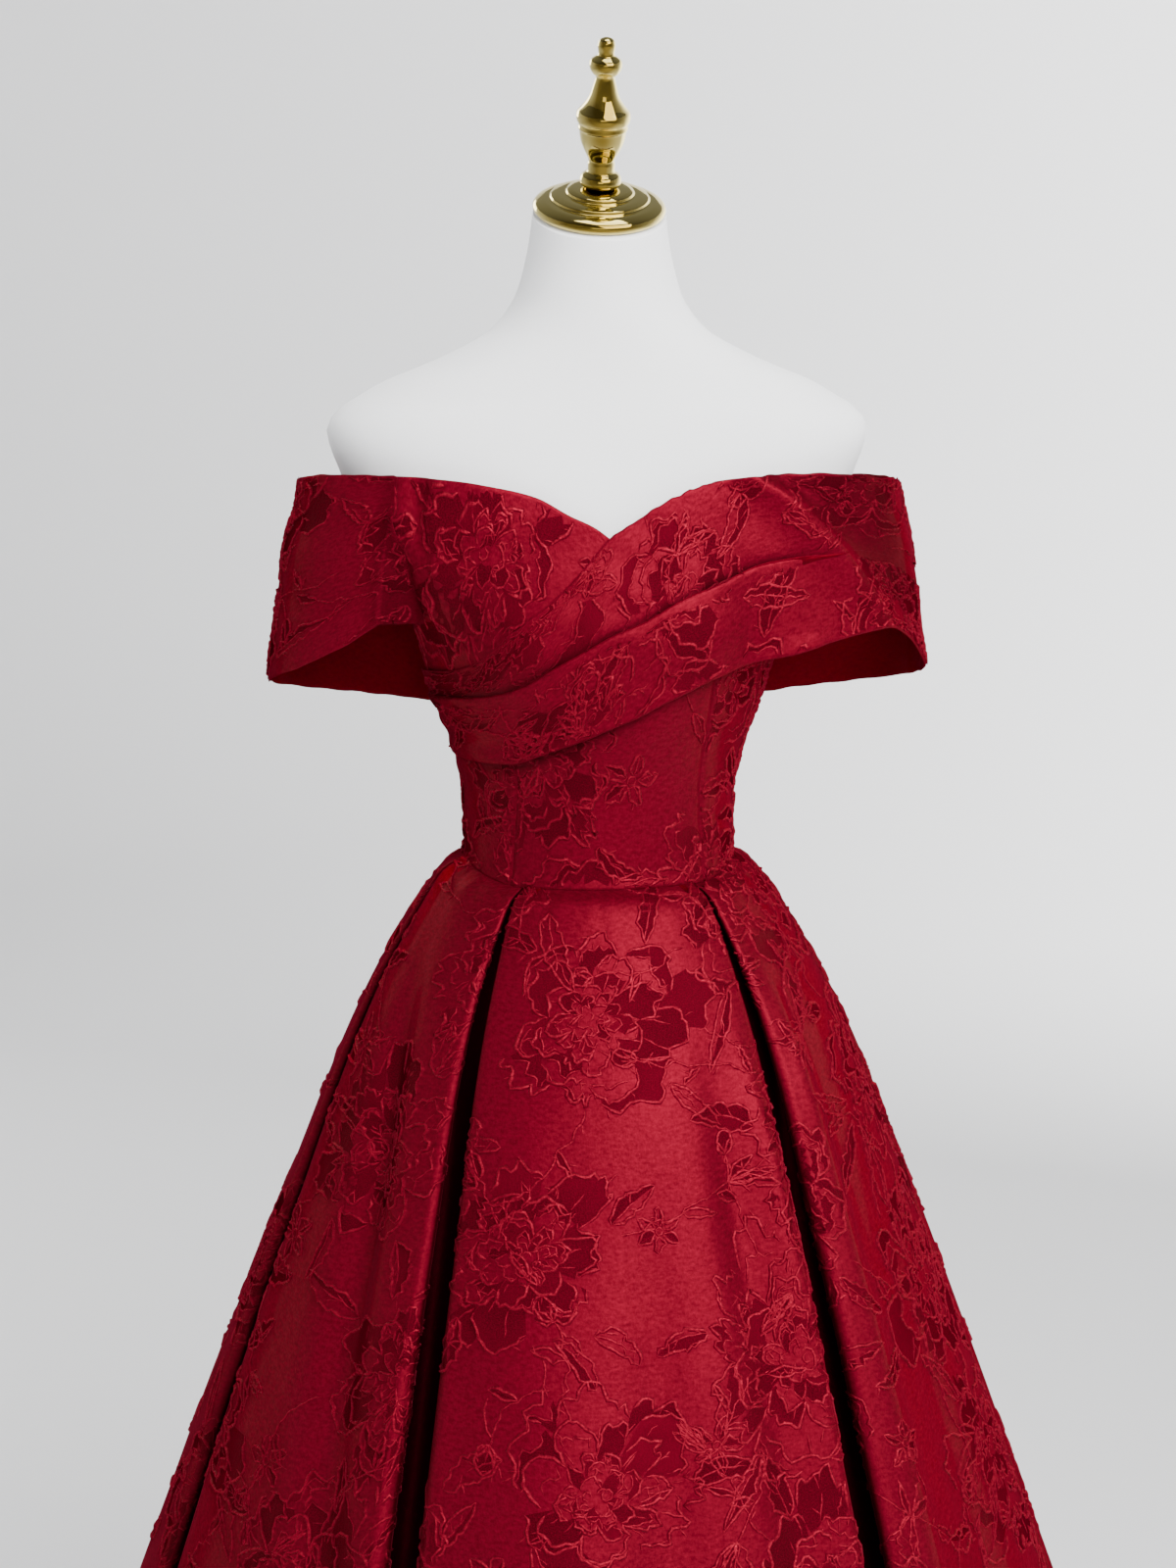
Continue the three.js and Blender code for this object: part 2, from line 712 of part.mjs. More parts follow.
const POLE_PROFILE = [[0, 30.3], [POLE_R, 30.3], [POLE_R, POLE_TOP], [0, POLE_TOP]];
add("stand_pole", turned(POLE_PROFILE, 20), STEEL);
add("stand_base", turned(BASE_PROFILE.map(([r, h]) => [Math.min(r, BASE_R), h]), 36), STEEL);

export default dress;
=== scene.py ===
# Looks of the prom dress on its limbless form: cloth shells, woven figures, form, stand, light.
# Lengths in the shape functions are millimetres and become metres in to_object.
import bpy
import math
import numpy as np
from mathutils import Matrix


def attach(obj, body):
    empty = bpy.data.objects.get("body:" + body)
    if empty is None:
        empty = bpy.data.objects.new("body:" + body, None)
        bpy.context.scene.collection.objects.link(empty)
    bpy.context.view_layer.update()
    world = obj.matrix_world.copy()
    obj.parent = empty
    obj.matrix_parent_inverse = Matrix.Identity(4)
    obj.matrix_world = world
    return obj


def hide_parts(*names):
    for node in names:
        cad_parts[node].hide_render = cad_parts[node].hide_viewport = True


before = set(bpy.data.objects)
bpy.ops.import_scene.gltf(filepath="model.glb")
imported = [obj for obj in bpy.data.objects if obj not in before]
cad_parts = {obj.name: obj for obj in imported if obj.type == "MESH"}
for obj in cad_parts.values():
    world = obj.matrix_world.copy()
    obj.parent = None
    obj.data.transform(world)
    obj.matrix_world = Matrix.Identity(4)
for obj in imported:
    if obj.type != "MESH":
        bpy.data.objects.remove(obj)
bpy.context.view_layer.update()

RAD = math.pi / 180
MM = 0.001

# Cloth thickness of the bodice, skirt, bands and turned hems, depth of the skirt's hem
CLOTH = 0.9
SKIRT_CLOTH = 0.9
BAND_CLOTH = 0.7
BAND_HEM = 1.7
SKIRT_HEM = 1.5
SKIRT_HEM_DEPTH = 28
# Gap at the centre-back seam
SEAM = 0.2
# Points from edge to edge of a panel, and columns folded out of sight at a pleat
BODICE_ROWS = 56
BAND_ROWS = 46
SLEEVE_ROWS = 44
PLEAT_COLUMNS = 15
# Distance of the wraps from the bodice's face
UNDER_LIFT = 2.6
OVER_LIFT = 4.9
WAIST_Z = 1050
WAIST_DIP = 12
HEM_Z = 12
DROP = WAIST_Z - HEM_Z
# Azimuth of the bodice's seams
PRINCESS_WAIST = 50
PRINCESS_TOP = 33
SIDE_SEAM = 88
# Fullest place of the bust and its rise, and the form's slack inside the bodice
CUP_AZ = 33
CUP_Z = 1222
CUP_RISE = 5.5
FORM_EASE = 0.5
# Tilt and place of the neck's top, and the pole
NECK_TILT = 21.5
CAP_Z = 1543
CAP_Y = -5
POLE_R = 12.5
POLE_TOP = 741.7

# Height, half width, front depth, back depth, roundness
BODICE = np.array([
    [1030, 111, 90, 84, 2.0], [1050, 106, 85, 80, 2.0], [1075, 104.5, 86, 80.5, 2.0],
    [1106, 105.6, 89.5, 82.5, 2.0], [1125, 109.6, 94, 85, 2.0], [1143, 113.7, 100, 88, 2.05],
    [1161, 121, 107, 91, 2.05], [1190, 130, 115, 95, 2.1], [1225, 140, 119, 98, 2.2],
    [1262, 150, 115, 99.5, 2.3], [1300, 163, 106, 100, 2.4], [1350, 180, 97, 99, 2.4],
])
BAND = np.array([
    [1150, 255, 109, 96, 2.6], [1187, 252.5, 109, 96, 2.6], [1262, 243.5, 106, 96, 2.6],
    [1340, 227, 101, 96, 2.6], [1360, 222, 99, 96, 2.6],
])
FORM_GAP = 2.3
FORM = np.concatenate([[
    [742, 96, 64, 68, 2.0], [748, 128, 84, 90, 2.0], [762, 150, 96, 103, 2.0],
    [800, 163, 102, 111, 2.0], [850, 164, 101, 111, 2.0], [900, 157, 97, 106, 2.0],
    [950, 141, 91, 96, 2.0], [1000, 114, 81, 81, 2.0], [1030, 99, 75.5, 73, 2.0],
    [1050, 96, 75.5, 71, 2.0], [1075, 98.5, 80.5, 75, 2.0],
], BODICE[3:9] - [0, FORM_GAP, FORM_GAP, FORM_GAP, 0], [
    [1252, 144.5, 113.5, 96, 2.25], [1272, 160, 109, 96, 2.3],
    [1290, 176, 102, 95, 2.3], [1315, 187, 96, 94, 2.35], [1344, 196, 89, 94, 2.4],
    [1362, 203, 84, 93, 2.4], [1377, 206.5, 80, 91, 2.3], [1391, 200, 76, 89, 2.2],
    [1401, 185, 73, 86, 2.0], [1414, 162, 69, 83, 2.0], [1422, 142, 67, 79, 2.0],
    [1434, 114, 64, 73, 2.0], [1453, 81, 60, 65, 2.0], [1478, 63, 56, 58, 2.0],
    [1500, 56.5, 53, 53, 2.0], [1518, 53, 51, 51, 2.0], [1536.7, 50.5, 50, 50, 2.0],
]])

# Drop below the waist, half width
FLARE = np.array([
    [0, 106], [9, 122], [25, 134], [56, 154], [87, 172], [119, 188], [150, 202], [182, 215],
    [246, 240], [311, 266], [376, 291], [442, 316], [509, 340], [576, 364.5], [760, 430],
    [900, 478], [1038, 525],
], float)

# Azimuth at the waist, azimuth at the hem
PLEATS = [
    (-137, -146), (-86.5, -76), (-43.6, -31.5), (43.6, 31.5), (86.5, 76), (137, 146),
]

# Points between each two corners of half a pleat
PLEAT_COUNTS = (3, 3, 5, 4, 5)

# Share of drop, opening, edge roll, fold-back, mid depth, full depth
PLEAT_SHAPE = np.array([
    [0, 1.2, 1.7, 13, 4.7, 5.7], [0.02, 4.5, 2.2, 14, 6.4, 9.2], [0.08, 12, 3.6, 15, 8.6, 14],
    [0.18, 17, 5, 16, 13, 27], [0.34, 22, 7, 17, 18, 42], [0.58, 27, 9, 19, 26, 58],
    [1, 36, 12, 22, 36, 78],
])

# Azimuth at the waist, at the hem, rise, width in degrees, start and full share of drop
SOFT = [
    (-73, -40, -15, 4.6, 0.02, 0.2), (-58, -46, 5, 4.5, 0.1, 0.4), (-12, -9, 5, 8, 0.2, 0.6),
    (4, 3.5, -7, 5, 0.15, 0.4), (22, 23.5, -9, 4.2, 0.08, 0.25), (33, 31, 7, 3, 0.06, 0.2),
    (52, 40, 7, 3.4, 0.03, 0.15), (64, 54, -6, 5, 0.15, 0.5), (-112, -108, -12, 7, 0.08, 0.35),
    (112, 108, -12, 7, 0.08, 0.35), (-160, -166, -9, 6, 0.1, 0.4), (160, 166, -9, 6, 0.1, 0.4),
]

# Azimuth, top, pleat line, bottom of the over wrap
OVER = np.array([
    [-86, 1196, 1178, 1132], [-60, 1202, 1182, 1132], [-49, 1209, 1185, 1132.5],
    [-40, 1223, 1189, 1134], [-30, 1243, 1198, 1141], [-22, 1258, 1209, 1147],
    [-10, 1286, 1224, 1156], [-1.8, 1304, 1234, 1164], [8.6, 1316, 1243, 1173],
    [15, 1324, 1251, 1181], [23, 1332, 1260, 1189], [33, 1340, 1268, 1199],
    [42, 1344, 1276, 1206], [51, 1347, 1285, 1214], [60, 1347.5, 1289, 1223],
    [67, 1346, 1290, 1229], [71, 1344, 1288, 1231], [76, 1341.5, 1282, 1222],
    [81, 1340, 1270, 1203], [85, 1339, 1263, 1195], [90, 1338, 1262, 1189],
])

# Azimuth, top, bottom of the under wrap
UNDER = np.array([
    [-56, 1346, 1190], [-50, 1344, 1193], [-43.7, 1341, 1198], [-30, 1332.5, 1215],
    [-18, 1319.5, 1221], [-8, 1310.5, 1222], [-1.8, 1302, 1222], [8, 1288, 1220],
    [20, 1262, 1213], [30, 1240, 1205],
])

# Height, azimuth of the crease where the right shoulder band turns to the side of the arm
CREASE = np.array([[1196, 78], [1231, 71.3], [1258, 67.1], [1292, 61.9], [1329, 53.7], [1345, 47]])

# Height, azimuth, radius where the under wrap ends in front of the arm
UNDER_END = np.array([
    [1190, -84, 132], [1228, -80, 144], [1244, -66, 153], [1262, -65, 161], [1285, -64, 169],
    [1310, -63, 174], [1346, -61.5, 179],
])

# Azimuth, top, bottom of the two sleeves
SLEEVE_L = np.array([
    [-180, 1328, 1142], [-162, 1331, 1144], [-145, 1334, 1149], [-128, 1336, 1157],
    [-110, 1338, 1170], [-95, 1340, 1184], [-84.8, 1343, 1193], [-77, 1347, 1203],
    [-68, 1348, 1223], [-62.8, 1348, 1240],
])
SLEEVE_R = np.array([
    [90, 1338, 1189], [98, 1338, 1181], [110, 1337, 1170], [128, 1336, 1157],
    [145, 1334, 1149], [162, 1331, 1144], [180, 1328, 1142],
])

# Radius, height along the neck's axis
CAP_PROFILE = [
    (0, -5.5), (46, -5.5), (49.4, -3.2), (50, 0.2), (48, 3), (43, 5.4), (38, 6.2), (37, 7),
    (36.8, 8.4), (32, 9.8), (26.4, 10.4), (25.4, 11), (25.2, 12.6), (22, 14.2), (15, 15), (0, 15),
]
FINIAL_PROFILE = [
    (0, 15.3), (10.5, 15.3), (14.6, 17.4), (15.6, 20.6), (14.4, 24.4), (10.4, 27.6), (10.2, 30),
    (10.2, 33.5), (9.8, 36.5), (13, 43), (16.2, 50.6), (17.8, 59.4), (18.6, 60.8), (18.2, 64.4),
    (19.6, 66), (20.2, 69), (19.6, 72.6), (16.8, 76), (11.6, 83.6), (8.8, 92.4), (7.1, 99.8),
    (9.6, 102), (12, 106.6), (11.4, 111.6), (6.4, 115.4), (6, 118), (6.6, 122.8), (5, 127),
    (0, 129),
]
BASE_PROFILE = [
    (0, 0), (168, 0), (172, 3), (172, 8), (168, 11), (120, 15.5), (40, 18), (22, 22), (20, 30),
    (0, 30),
]
POLE_PROFILE = [
    (0, 30.3), (POLE_R - 0.4, 30.3), (POLE_R, 30.8), (POLE_R, POLE_TOP - 0.5),
    (POLE_R - 0.4, POLE_TOP), (0, POLE_TOP),
]


# Helpers

def hermite(a, b, slope_a, slope_b, t):
    """Cubic from a to b with the slopes at its ends."""
    t2, t3 = t * t, t * t * t
    return (a * (2 * t3 - 3 * t2 + 1) + slope_a * (t3 - 2 * t2 + t) + b * (3 * t2 - 2 * t3)
            + slope_b * (t3 - t2))


def smooth(rows, column, x):
    """Value of a column at x, smooth between the rows."""
    xs, ys = rows[:, 0], rows[:, column]
    x = np.clip(np.asarray(x, float), xs[0], xs[-1])
    i = np.clip(np.searchsorted(xs, x, side="right") - 1, 0, len(xs) - 2)
    d = np.diff(ys) / np.diff(xs)
    m = np.zeros(len(xs))
    m[0], m[-1] = d[0], d[-1]
    both = d[:-1] * d[1:]
    m[1:-1] = np.where(both > 0, 2 * both / np.where(d[:-1] + d[1:] == 0, 1, d[:-1] + d[1:]), 0)
    h = xs[i + 1] - xs[i]
    return hermite(ys[i], ys[i + 1], m[i] * h, m[i + 1] * h, (x - xs[i]) / h)


def ramp(x, low, high):
    t = np.clip((np.asarray(x, float) - low) / (high - low), 0, 1)
    return t * t * (3 - 2 * t)


def mix(a, b, t):
    return a + (b - a) * t


def bell(x, centre, width):
    return np.exp(-((x - centre) / width) ** 2)


def at(azimuth, radius, z):
    a = np.asarray(azimuth, float) * RAD
    radius, z, a = np.broadcast_arrays(radius, z, a)
    return np.stack([radius * np.sin(a), -radius * np.cos(a), z], -1)


def unit(v):
    return v / np.maximum(np.linalg.norm(v, axis=-1, keepdims=True), 1e-9)


def section(rows, azimuth, z):
    a = np.asarray(azimuth, float) * RAD
    half = smooth(rows, 1, z)
    depth = np.where(np.cos(a) > 0, smooth(rows, 2, z), smooth(rows, 3, z))
    power = smooth(rows, 4, z)
    x = np.abs(np.sin(a)) / half
    y = np.abs(np.cos(a)) / depth
    return (x ** power + y ** power) ** (-1 / power)


def cups(azimuth, z):
    a = (np.abs(azimuth) - CUP_AZ) / 17
    h = (z - CUP_Z) / 36
    return CUP_RISE * np.exp(-a * a - h * h)


def bodice_radius(azimuth, z):
    return section(BODICE, azimuth, z) + cups(azimuth, z)


def band_radius(azimuth, z, lift, freedom):
    on_body = bodice_radius(azimuth, z) + UNDER_LIFT
    free = mix(on_body - 25, section(BAND, azimuth, z), freedom)
    swell = 6 * np.log1p(np.exp(-np.abs(on_body - free) / 6))
    return np.maximum(on_body, free) + swell * ramp(free - on_body, -30, 0) + lift


def back_edge(radius):
    return 180 - SEAM / radius / RAD


def waist_z(azimuth):
    return WAIST_Z - WAIST_DIP * (1 - ramp(np.abs(azimuth), 45, 90))


def waves(u, v, seed, size, slant=0.0):
    """Gentle irregular undulation of about plus or minus one."""
    rng = np.random.default_rng(seed)
    total = 0
    for k in range(5):
        angle = slant + rng.uniform(-0.5, 0.5)
        length = size * rng.uniform(0.7, 1.5)
        phase = rng.uniform(0, 2 * math.pi)
        total = total + np.sin((u * math.cos(angle) + v * math.sin(angle)) * 2 * math.pi / length
                               + phase)
    return total / 2.6


# Cloth

def grid_normals(p):
    """Unit normals of a grid of points, facing away from the middle of the dress."""
    n = unit(np.cross(np.gradient(p, axis=0), np.gradient(p, axis=1)))
    i, j = p.shape[0] // 2, p.shape[1] // 2
    if np.dot(n[i, j, :2], p[i, j, :2]) < 0:
        n = -n
    return n


def flat_map(p):
    """Flat place of each grid point: across from the middle column, along that column."""
    across = np.zeros(p.shape[:2])
    across[1:] = np.cumsum(np.linalg.norm(np.diff(p, axis=0), axis=-1), axis=0)
    mid = p.shape[0] // 2
    across -= across[mid]
    along = np.zeros(p.shape[1])
    along[1:] = np.cumsum(np.linalg.norm(np.diff(p[mid], axis=0), axis=-1))
    return across, along


def to_object(name, verts, faces, uv, materials, index):
    """Mesh object from points in millimetres and lists of triangles and quads."""
    mesh = bpy.data.meshes.new(name)
    loops = np.concatenate([f.ravel() for f in faces]).astype(np.int32)
    sizes = np.concatenate([np.full(len(f), f.shape[1]) for f in faces])
    starts = np.concatenate([[0], np.cumsum(sizes)[:-1]]).astype(np.int32)
    mesh.vertices.add(len(verts))
    mesh.vertices.foreach_set("co", (np.asarray(verts, float) * MM).ravel())
    mesh.loops.add(len(loops))
    mesh.loops.foreach_set("vertex_index", loops)
    mesh.polygons.add(len(sizes))
    mesh.polygons.foreach_set("loop_start", starts)
    mesh.polygons.foreach_set("material_index", np.concatenate(index).astype(np.int32))
    mesh.polygons.foreach_set("use_smooth", np.full(len(sizes), True))
    for m in materials:
        mesh.materials.append(m)
    if uv is not None:
        layer = mesh.uv_layers.new(name="flat")
        layer.data.foreach_set("uv", (np.asarray(uv, float)[loops] * MM).ravel())
    mesh.update(calc_edges=True)
    mesh.validate()
    obj = bpy.data.objects.new(name, mesh)
    bpy.context.scene.collection.objects.link(obj)
    return obj


def mark(obj, label, values):
    """One number for each vertex, read by the materials."""
    layer = obj.data.attributes.new(label, "FLOAT", "POINT")
    layer.data.foreach_set("value", values.astype(np.float32))


def grid_quads(ids):
    return np.stack([ids[:-1, :-1], ids[1:, :-1], ids[1:, 1:], ids[:-1, 1:]], -1).reshape(-1, 4)


def ring_quads(ids):
    """Quads between closed rings."""
    nxt = np.roll(ids, -1, axis=1)
    return np.stack([ids[:-1], nxt[:-1], nxt[1:], ids[1:]], -1).reshape(-1, 4)


def cloth_shell(name, p, thickness, node, show=None, hidden_rows=(), depth=None):
    """Closed cloth of even thickness behind a grid of face points, its rim rounded.
    show are the first and last columns in sight, hidden_rows the rows inside a fold,
    depth the painted shade of each face point, which darkens its colour."""
    nu, nv = p.shape[:2]
    n = grid_normals(p)
    thick = thickness if np.ndim(thickness) else np.full((nu, nv), float(thickness))
    inner = p - n * thick[..., None]
    ids = np.arange(nu * nv).reshape(nu, nv)
    ring = np.concatenate([ids[:, 0], ids[-1, 1:], ids[-2::-1, -1], ids[0, -2:0:-1]])
    out = np.zeros_like(p)
    out[:, 0] += unit(p[:, 0] - p[:, 1])
    out[:, -1] += unit(p[:, -1] - p[:, -2])
    out[0] += unit(p[0] - p[1])
    out[-1] += unit(p[-1] - p[-2])
    flat_p, flat_i = p.reshape(-1, 3), inner.reshape(-1, 3)
    half = thick.reshape(-1)[ring][:, None] * 0.45
    rim = (flat_p[ring] + flat_i[ring]) / 2 + unit(out.reshape(-1, 3)[ring]) * half
    across, along = flat_map(p)
    uv = np.stack([across, np.broadcast_to(-along, (nu, nv))], -1).reshape(-1, 2)
    verts = np.concatenate([flat_p, flat_i, rim])
    uvs = np.concatenate([uv, uv, uv[ring]])
    q = grid_quads(ids)
    count = nu * nv
    r0 = np.arange(len(ring))
    r1 = np.roll(r0, -1)
    rim_out = np.stack([ring[r0], 2 * count + r0, 2 * count + r1, ring[r1]], -1)
    rim_in = np.stack([2 * count + r0, count + ring[r0], count + ring[r1], 2 * count + r1], -1)
    faces = [q, q[:, ::-1] + count, rim_out, rim_in]
    a, b, c, d = (verts[q[:, k]] for k in range(4))
    facing = np.cross(c - a, d - b)
    if np.sum(facing * n[:-1, :-1].reshape(-1, 3)) < 0:
        faces = [f[:, ::-1] for f in faces]
    index = [np.zeros(len(q)), np.ones(len(q)), np.zeros(len(rim_out)), np.ones(len(rim_in))]
    obj = to_object(name, verts, faces, uvs, [JACQUARD, LINING], index)
    painted_shade = np.zeros(nu * nv) if depth is None else depth.reshape(-1)
    mark(obj, "painted_shade", np.concatenate([painted_shade, painted_shade, painted_shade[ring]]))
    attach(obj, "root")
    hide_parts(node)
    area = float(np.sum(np.linalg.norm(facing, axis=-1)) / 2) * MM * MM
    width = float(np.max(across[-1] - across[0])) * MM
    length = float(np.max(np.sum(np.linalg.norm(np.diff(p, axis=1), axis=-1), axis=1))) * MM
    CLOTHS[obj] = {"p": p, "n": n, "across": across, "along": along, "area": area,
                   "painted_shade": painted_shade.reshape(nu, nv, 1), "width": width, "length": length,
                   "show": show or (0, nu - 1), "hidden_rows": hidden_rows}
    return obj


CLOTHS = {}


def seam_dip(grid_shape, across, along, edges, depth=1.1, reach=2.6):
    """How far the face dips towards each sewn edge, in millimetres."""
    nu, nv = grid_shape
    dip = np.zeros((nu, nv))
    v = np.broadcast_to(along, (nu, nv))
    far = {
        "left": across - across[0], "right": across[-1] - across,
        "start": v - v[:, :1], "end": v[:, -1:] - v,
    }
    for edge in edges:
        dip = np.maximum(dip, depth * np.exp(-(far[edge] / reach) ** 2))
    return dip


def spaced(low, high, count, ends):
    """Parameters from low to high, closer together near the ends."""
    t = np.linspace(0, 1, count)
    t = t - ends * np.sin(2 * math.pi * t) / (2 * math.pi)
    return mix(low, high, t)


# Materials

class Surface:
    """A material with its shader, and short ways to add nodes and to join them."""

    def __init__(self, name):
        self.material = bpy.data.materials.new(name)
        self.material.use_nodes = True
        self.nodes = self.material.node_tree.nodes
        self.shader = self.nodes["Principled BSDF"]

    def put(self, node, inputs):
        """Give the node's inputs values, or join them to other nodes' outputs."""
        for socket, value in inputs.items():
            if isinstance(value, bpy.types.NodeSocket):
                self.material.node_tree.links.new(value, node.inputs[socket])
            else:
                node.inputs[socket].default_value = value

    def add(self, kind, inputs, **settings):
        node = self.nodes.new("ShaderNode" + kind)
        for setting, value in settings.items():
            setattr(node, setting, value)
        self.put(node, inputs)
        return node.outputs

    def maths(self, operation, *values, **settings):
        return self.add("Math", dict(enumerate(values)), operation=operation, **settings)[0]

    def attribute(self, name):
        return self.add("Attribute", {}, attribute_name=name)["Fac"]

    def flat(self, x, y):
        """Flat place on the cloth, in x and y repeats per metre."""
        uv = self.add("UVMap", {}, uv_map="flat")["UV"]
        return self.add("VectorMath", {0: uv, 1: (x, y, 1)}, operation="MULTIPLY")[0]

    def solid(self, *scale):
        """Place on the object, in repeats per metre."""
        place = self.add("TexCoord", {})["Object"]
        return self.add("VectorMath", {0: place, 1: scale}, operation="MULTIPLY")[0]

    def facing(self):
        """0 where the surface faces the eye, 1 where it is seen edge on."""
        return self.add("LayerWeight", {"Blend": 0.5})["Facing"]

    def noise(self, place, detail=2.0, roughness=0.5):
        return self.add("TexNoise", {"Scale": 1.0, "Detail": detail, "Roughness": roughness,
                                     "Vector": place})["Fac"]

    def between(self, factor, low, high, start=0.3, end=0.7):
        """Colour between low and high as the factor goes from start to end."""
        node = self.nodes.new("ShaderNodeValToRGB")
        stops = node.color_ramp.elements
        stops[0].position, stops[0].color = start, (*low, 1)
        stops[1].position, stops[1].color = end, (*high, 1)
        self.put(node, {"Fac": factor})
        return node.outputs["Color"]

    def mixed(self, factor, low, high):
        return self.add("Mix", {"Factor": factor, 6: low, 7: high}, data_type="RGBA")[2]

    def bump(self, height, strength, distance, before=None):
        under = {} if before is None else {"Normal": before}
        return self.add("Bump", {"Strength": strength, "Distance": distance, "Height": height,
                                 **under})["Normal"]

    def cloth(self, colour, metallic, specular):
        """Cloth loses its shine where it is seen edge on. Painted shade darkens its colour to near
        black in folds, under edges and a little towards the outline."""
        facing = self.facing()

        def turning(start, end, first, last):
            return self.add("MapRange", {"Value": facing, "From Min": start, "From Max": end,
                                         "To Min": first, "To Max": last})["Result"]

        # painted shade: the marked darkening of folds and edges, plus a painted falloff towards the
        # outline
        painted_darkness = self.maths("MAXIMUM", self.attribute("painted_shade"), turning(0.4, 0.95, 0.0, 0.6))
        self.put(self.shader, {
            "Base Color": self.mixed(painted_darkness, colour, DEEP_SHADE),
            "Metallic": turning(0.35, 0.8, metallic, 0.0),
            "Specular IOR Level": turning(0.2, 0.5, specular, 0.0),
            "Specular Tint": RED_TINT,
        })


def satin(name, low, high, roughness, sheen, grain=0.5, crinkle=(120, 150, 0.4)):
    """Woven satin: fine weave grain, slubs, soft unevenness and a coloured sheen."""
    s = Surface(name)
    weave = s.noise(s.flat(640, 420), 2, 0.7)
    slub = s.noise(s.flat(230, 360), 1)
    mean = s.maths("MULTIPLY", s.maths("ADD", weave, slub), 0.5)
    s.cloth(s.between(mean, low, high, 0.36, 0.64), 0.48, 0.14)
    swell = s.bump(s.noise(s.flat(24, 20), 1), 0.28, 0.004)
    pucker = s.bump(s.noise(s.flat(*crinkle[:2]), 3, 0.6), crinkle[2], 0.0010, swell)
    s.put(s.shader, {
        "Normal": s.bump(weave, grain, 0.0002, pucker), "Roughness": roughness,
        "Sheen Weight": sheen, "Sheen Roughness": 0.4, "Sheen Tint": RED_TINT,
    })
    return s.material


def figure_fill():
    """Dark matt weave of the filled petals, ribbed, fading to the ground where shade is low."""
    s = Surface("figure_fill")
    rib = s.noise(s.flat(420, 160), 3, 0.6)
    grain = s.noise(s.flat(900, 900), 2, 0.7)
    dark = s.between(grain, (0.036, 0.0008, 0.0030), (0.085, 0.0018, 0.0066), 0.38, 0.62)
    shade = s.maths("MULTIPLY_ADD", s.attribute("shade"), 1.5, -0.25, use_clamp=True)
    s.cloth(s.mixed(shade, (0.109, 0.0024, 0.0090, 1), dark), 0.3, 0.08)
    s.put(s.shader, {"Normal": s.bump(grain, 0.5, 0.0003, s.bump(rib, 0.6, 0.0008)),
                     "Roughness": 0.62})
    return s.material


def jersey():
    s = Surface("jersey")
    knit = s.noise(s.solid(900, 900, 1500), 2, 0.6)
    s.put(s.shader, {
        "Base Color": s.between(knit, (0.91, 0.91, 0.915), (0.95, 0.95, 0.955)),
        "Normal": s.bump(knit, 0.25, 0.0002), "Roughness": 0.85, "Sheen Weight": 0.15,
        "Specular IOR Level": 0.25,
    })
    return s.material


def smudged(name, low, high, roughness, mirror):
    """Paint or mirror metal, very slightly cloudy; the metal is painted darker facing the eye, a
    painted dark reflection.
    """
    s = Surface(name)
    cloud = s.noise(s.solid(60, 60, 60), 3)
    # Mirror metal: a painted dark reflection where it faces the eye
    colour = s.between(s.facing(), low, high, 0.12) if mirror else s.between(cloud, low, high)
    s.put(s.shader, {"Base Color": colour, "Normal": s.bump(cloud, 0.03, 0.0005),
                     "Roughness": roughness, "Metallic": float(mirror)})
    return s.material


def plain(name, colour, roughness):
    s = Surface(name)
    s.put(s.shader, {"Base Color": (*colour, 1), "Roughness": roughness})
    return s.material


RED_TINT = (1.0, 0.06, 0.14, 1)
# Near-black colour of the painted shade in folds, under edges and beside the outlines
DEEP_SHADE = (0.010, 0.0001, 0.0008, 1)
JACQUARD = satin("jacquard", (0.083, 0.0018, 0.0066), (0.141, 0.0034, 0.0122), 0.44, 0.10)
THREAD = satin("figure_thread", (0.137, 0.0032, 0.0110), (0.275, 0.0085, 0.0240), 0.36, 0.2,
               0.7, (330, 330, 1.0))
FILL = figure_fill()
LINING = satin("lining", (0.095, 0.001, 0.005), (0.125, 0.0014, 0.007), 0.5, 0.08, 0.1)
JERSEY = jersey()
# Gold darkens facing the eye as a painted dark reflection
GOLD = smudged("gold", (0.15, 0.10, 0.016), (0.86, 0.72, 0.25), 0.06, True)
PAINT = smudged("stand_paint", (0.74, 0.74, 0.74), (0.80, 0.80, 0.80), 0.35, False)
FLOOR = plain("floor_paint", (0.82, 0.82, 0.825), 0.8)


# Bodice

def bodice_top(azimuth):
    return 1237 + 20 * np.exp(-((np.abs(azimuth) - CUP_AZ) / 20) ** 2)


def princess(z):
    return mix(PRINCESS_WAIST, PRINCESS_TOP, ramp(z, WAIST_Z - 10, 1257))


def strain(azimuth, z):
    """Fine drag lines of the fitted bodice, in millimetres."""
    side = ramp(np.abs(azimuth), 20, 70) * (1 - ramp(np.abs(azimuth), 150, 180))
    low = 1 - ramp(z, 1060, 1140)
    slant = waves(z + 0.25 * azimuth, azimuth * 0.5, 3, 26)
    gather = bell(azimuth, -72, 26) * bell(z, 1112, 34)
    pull = waves(z - 0.75 * (azimuth + 70), azimuth * 0.2, 8, 21)
    return 0.45 * slant * side * low + 1.3 * pull * gather


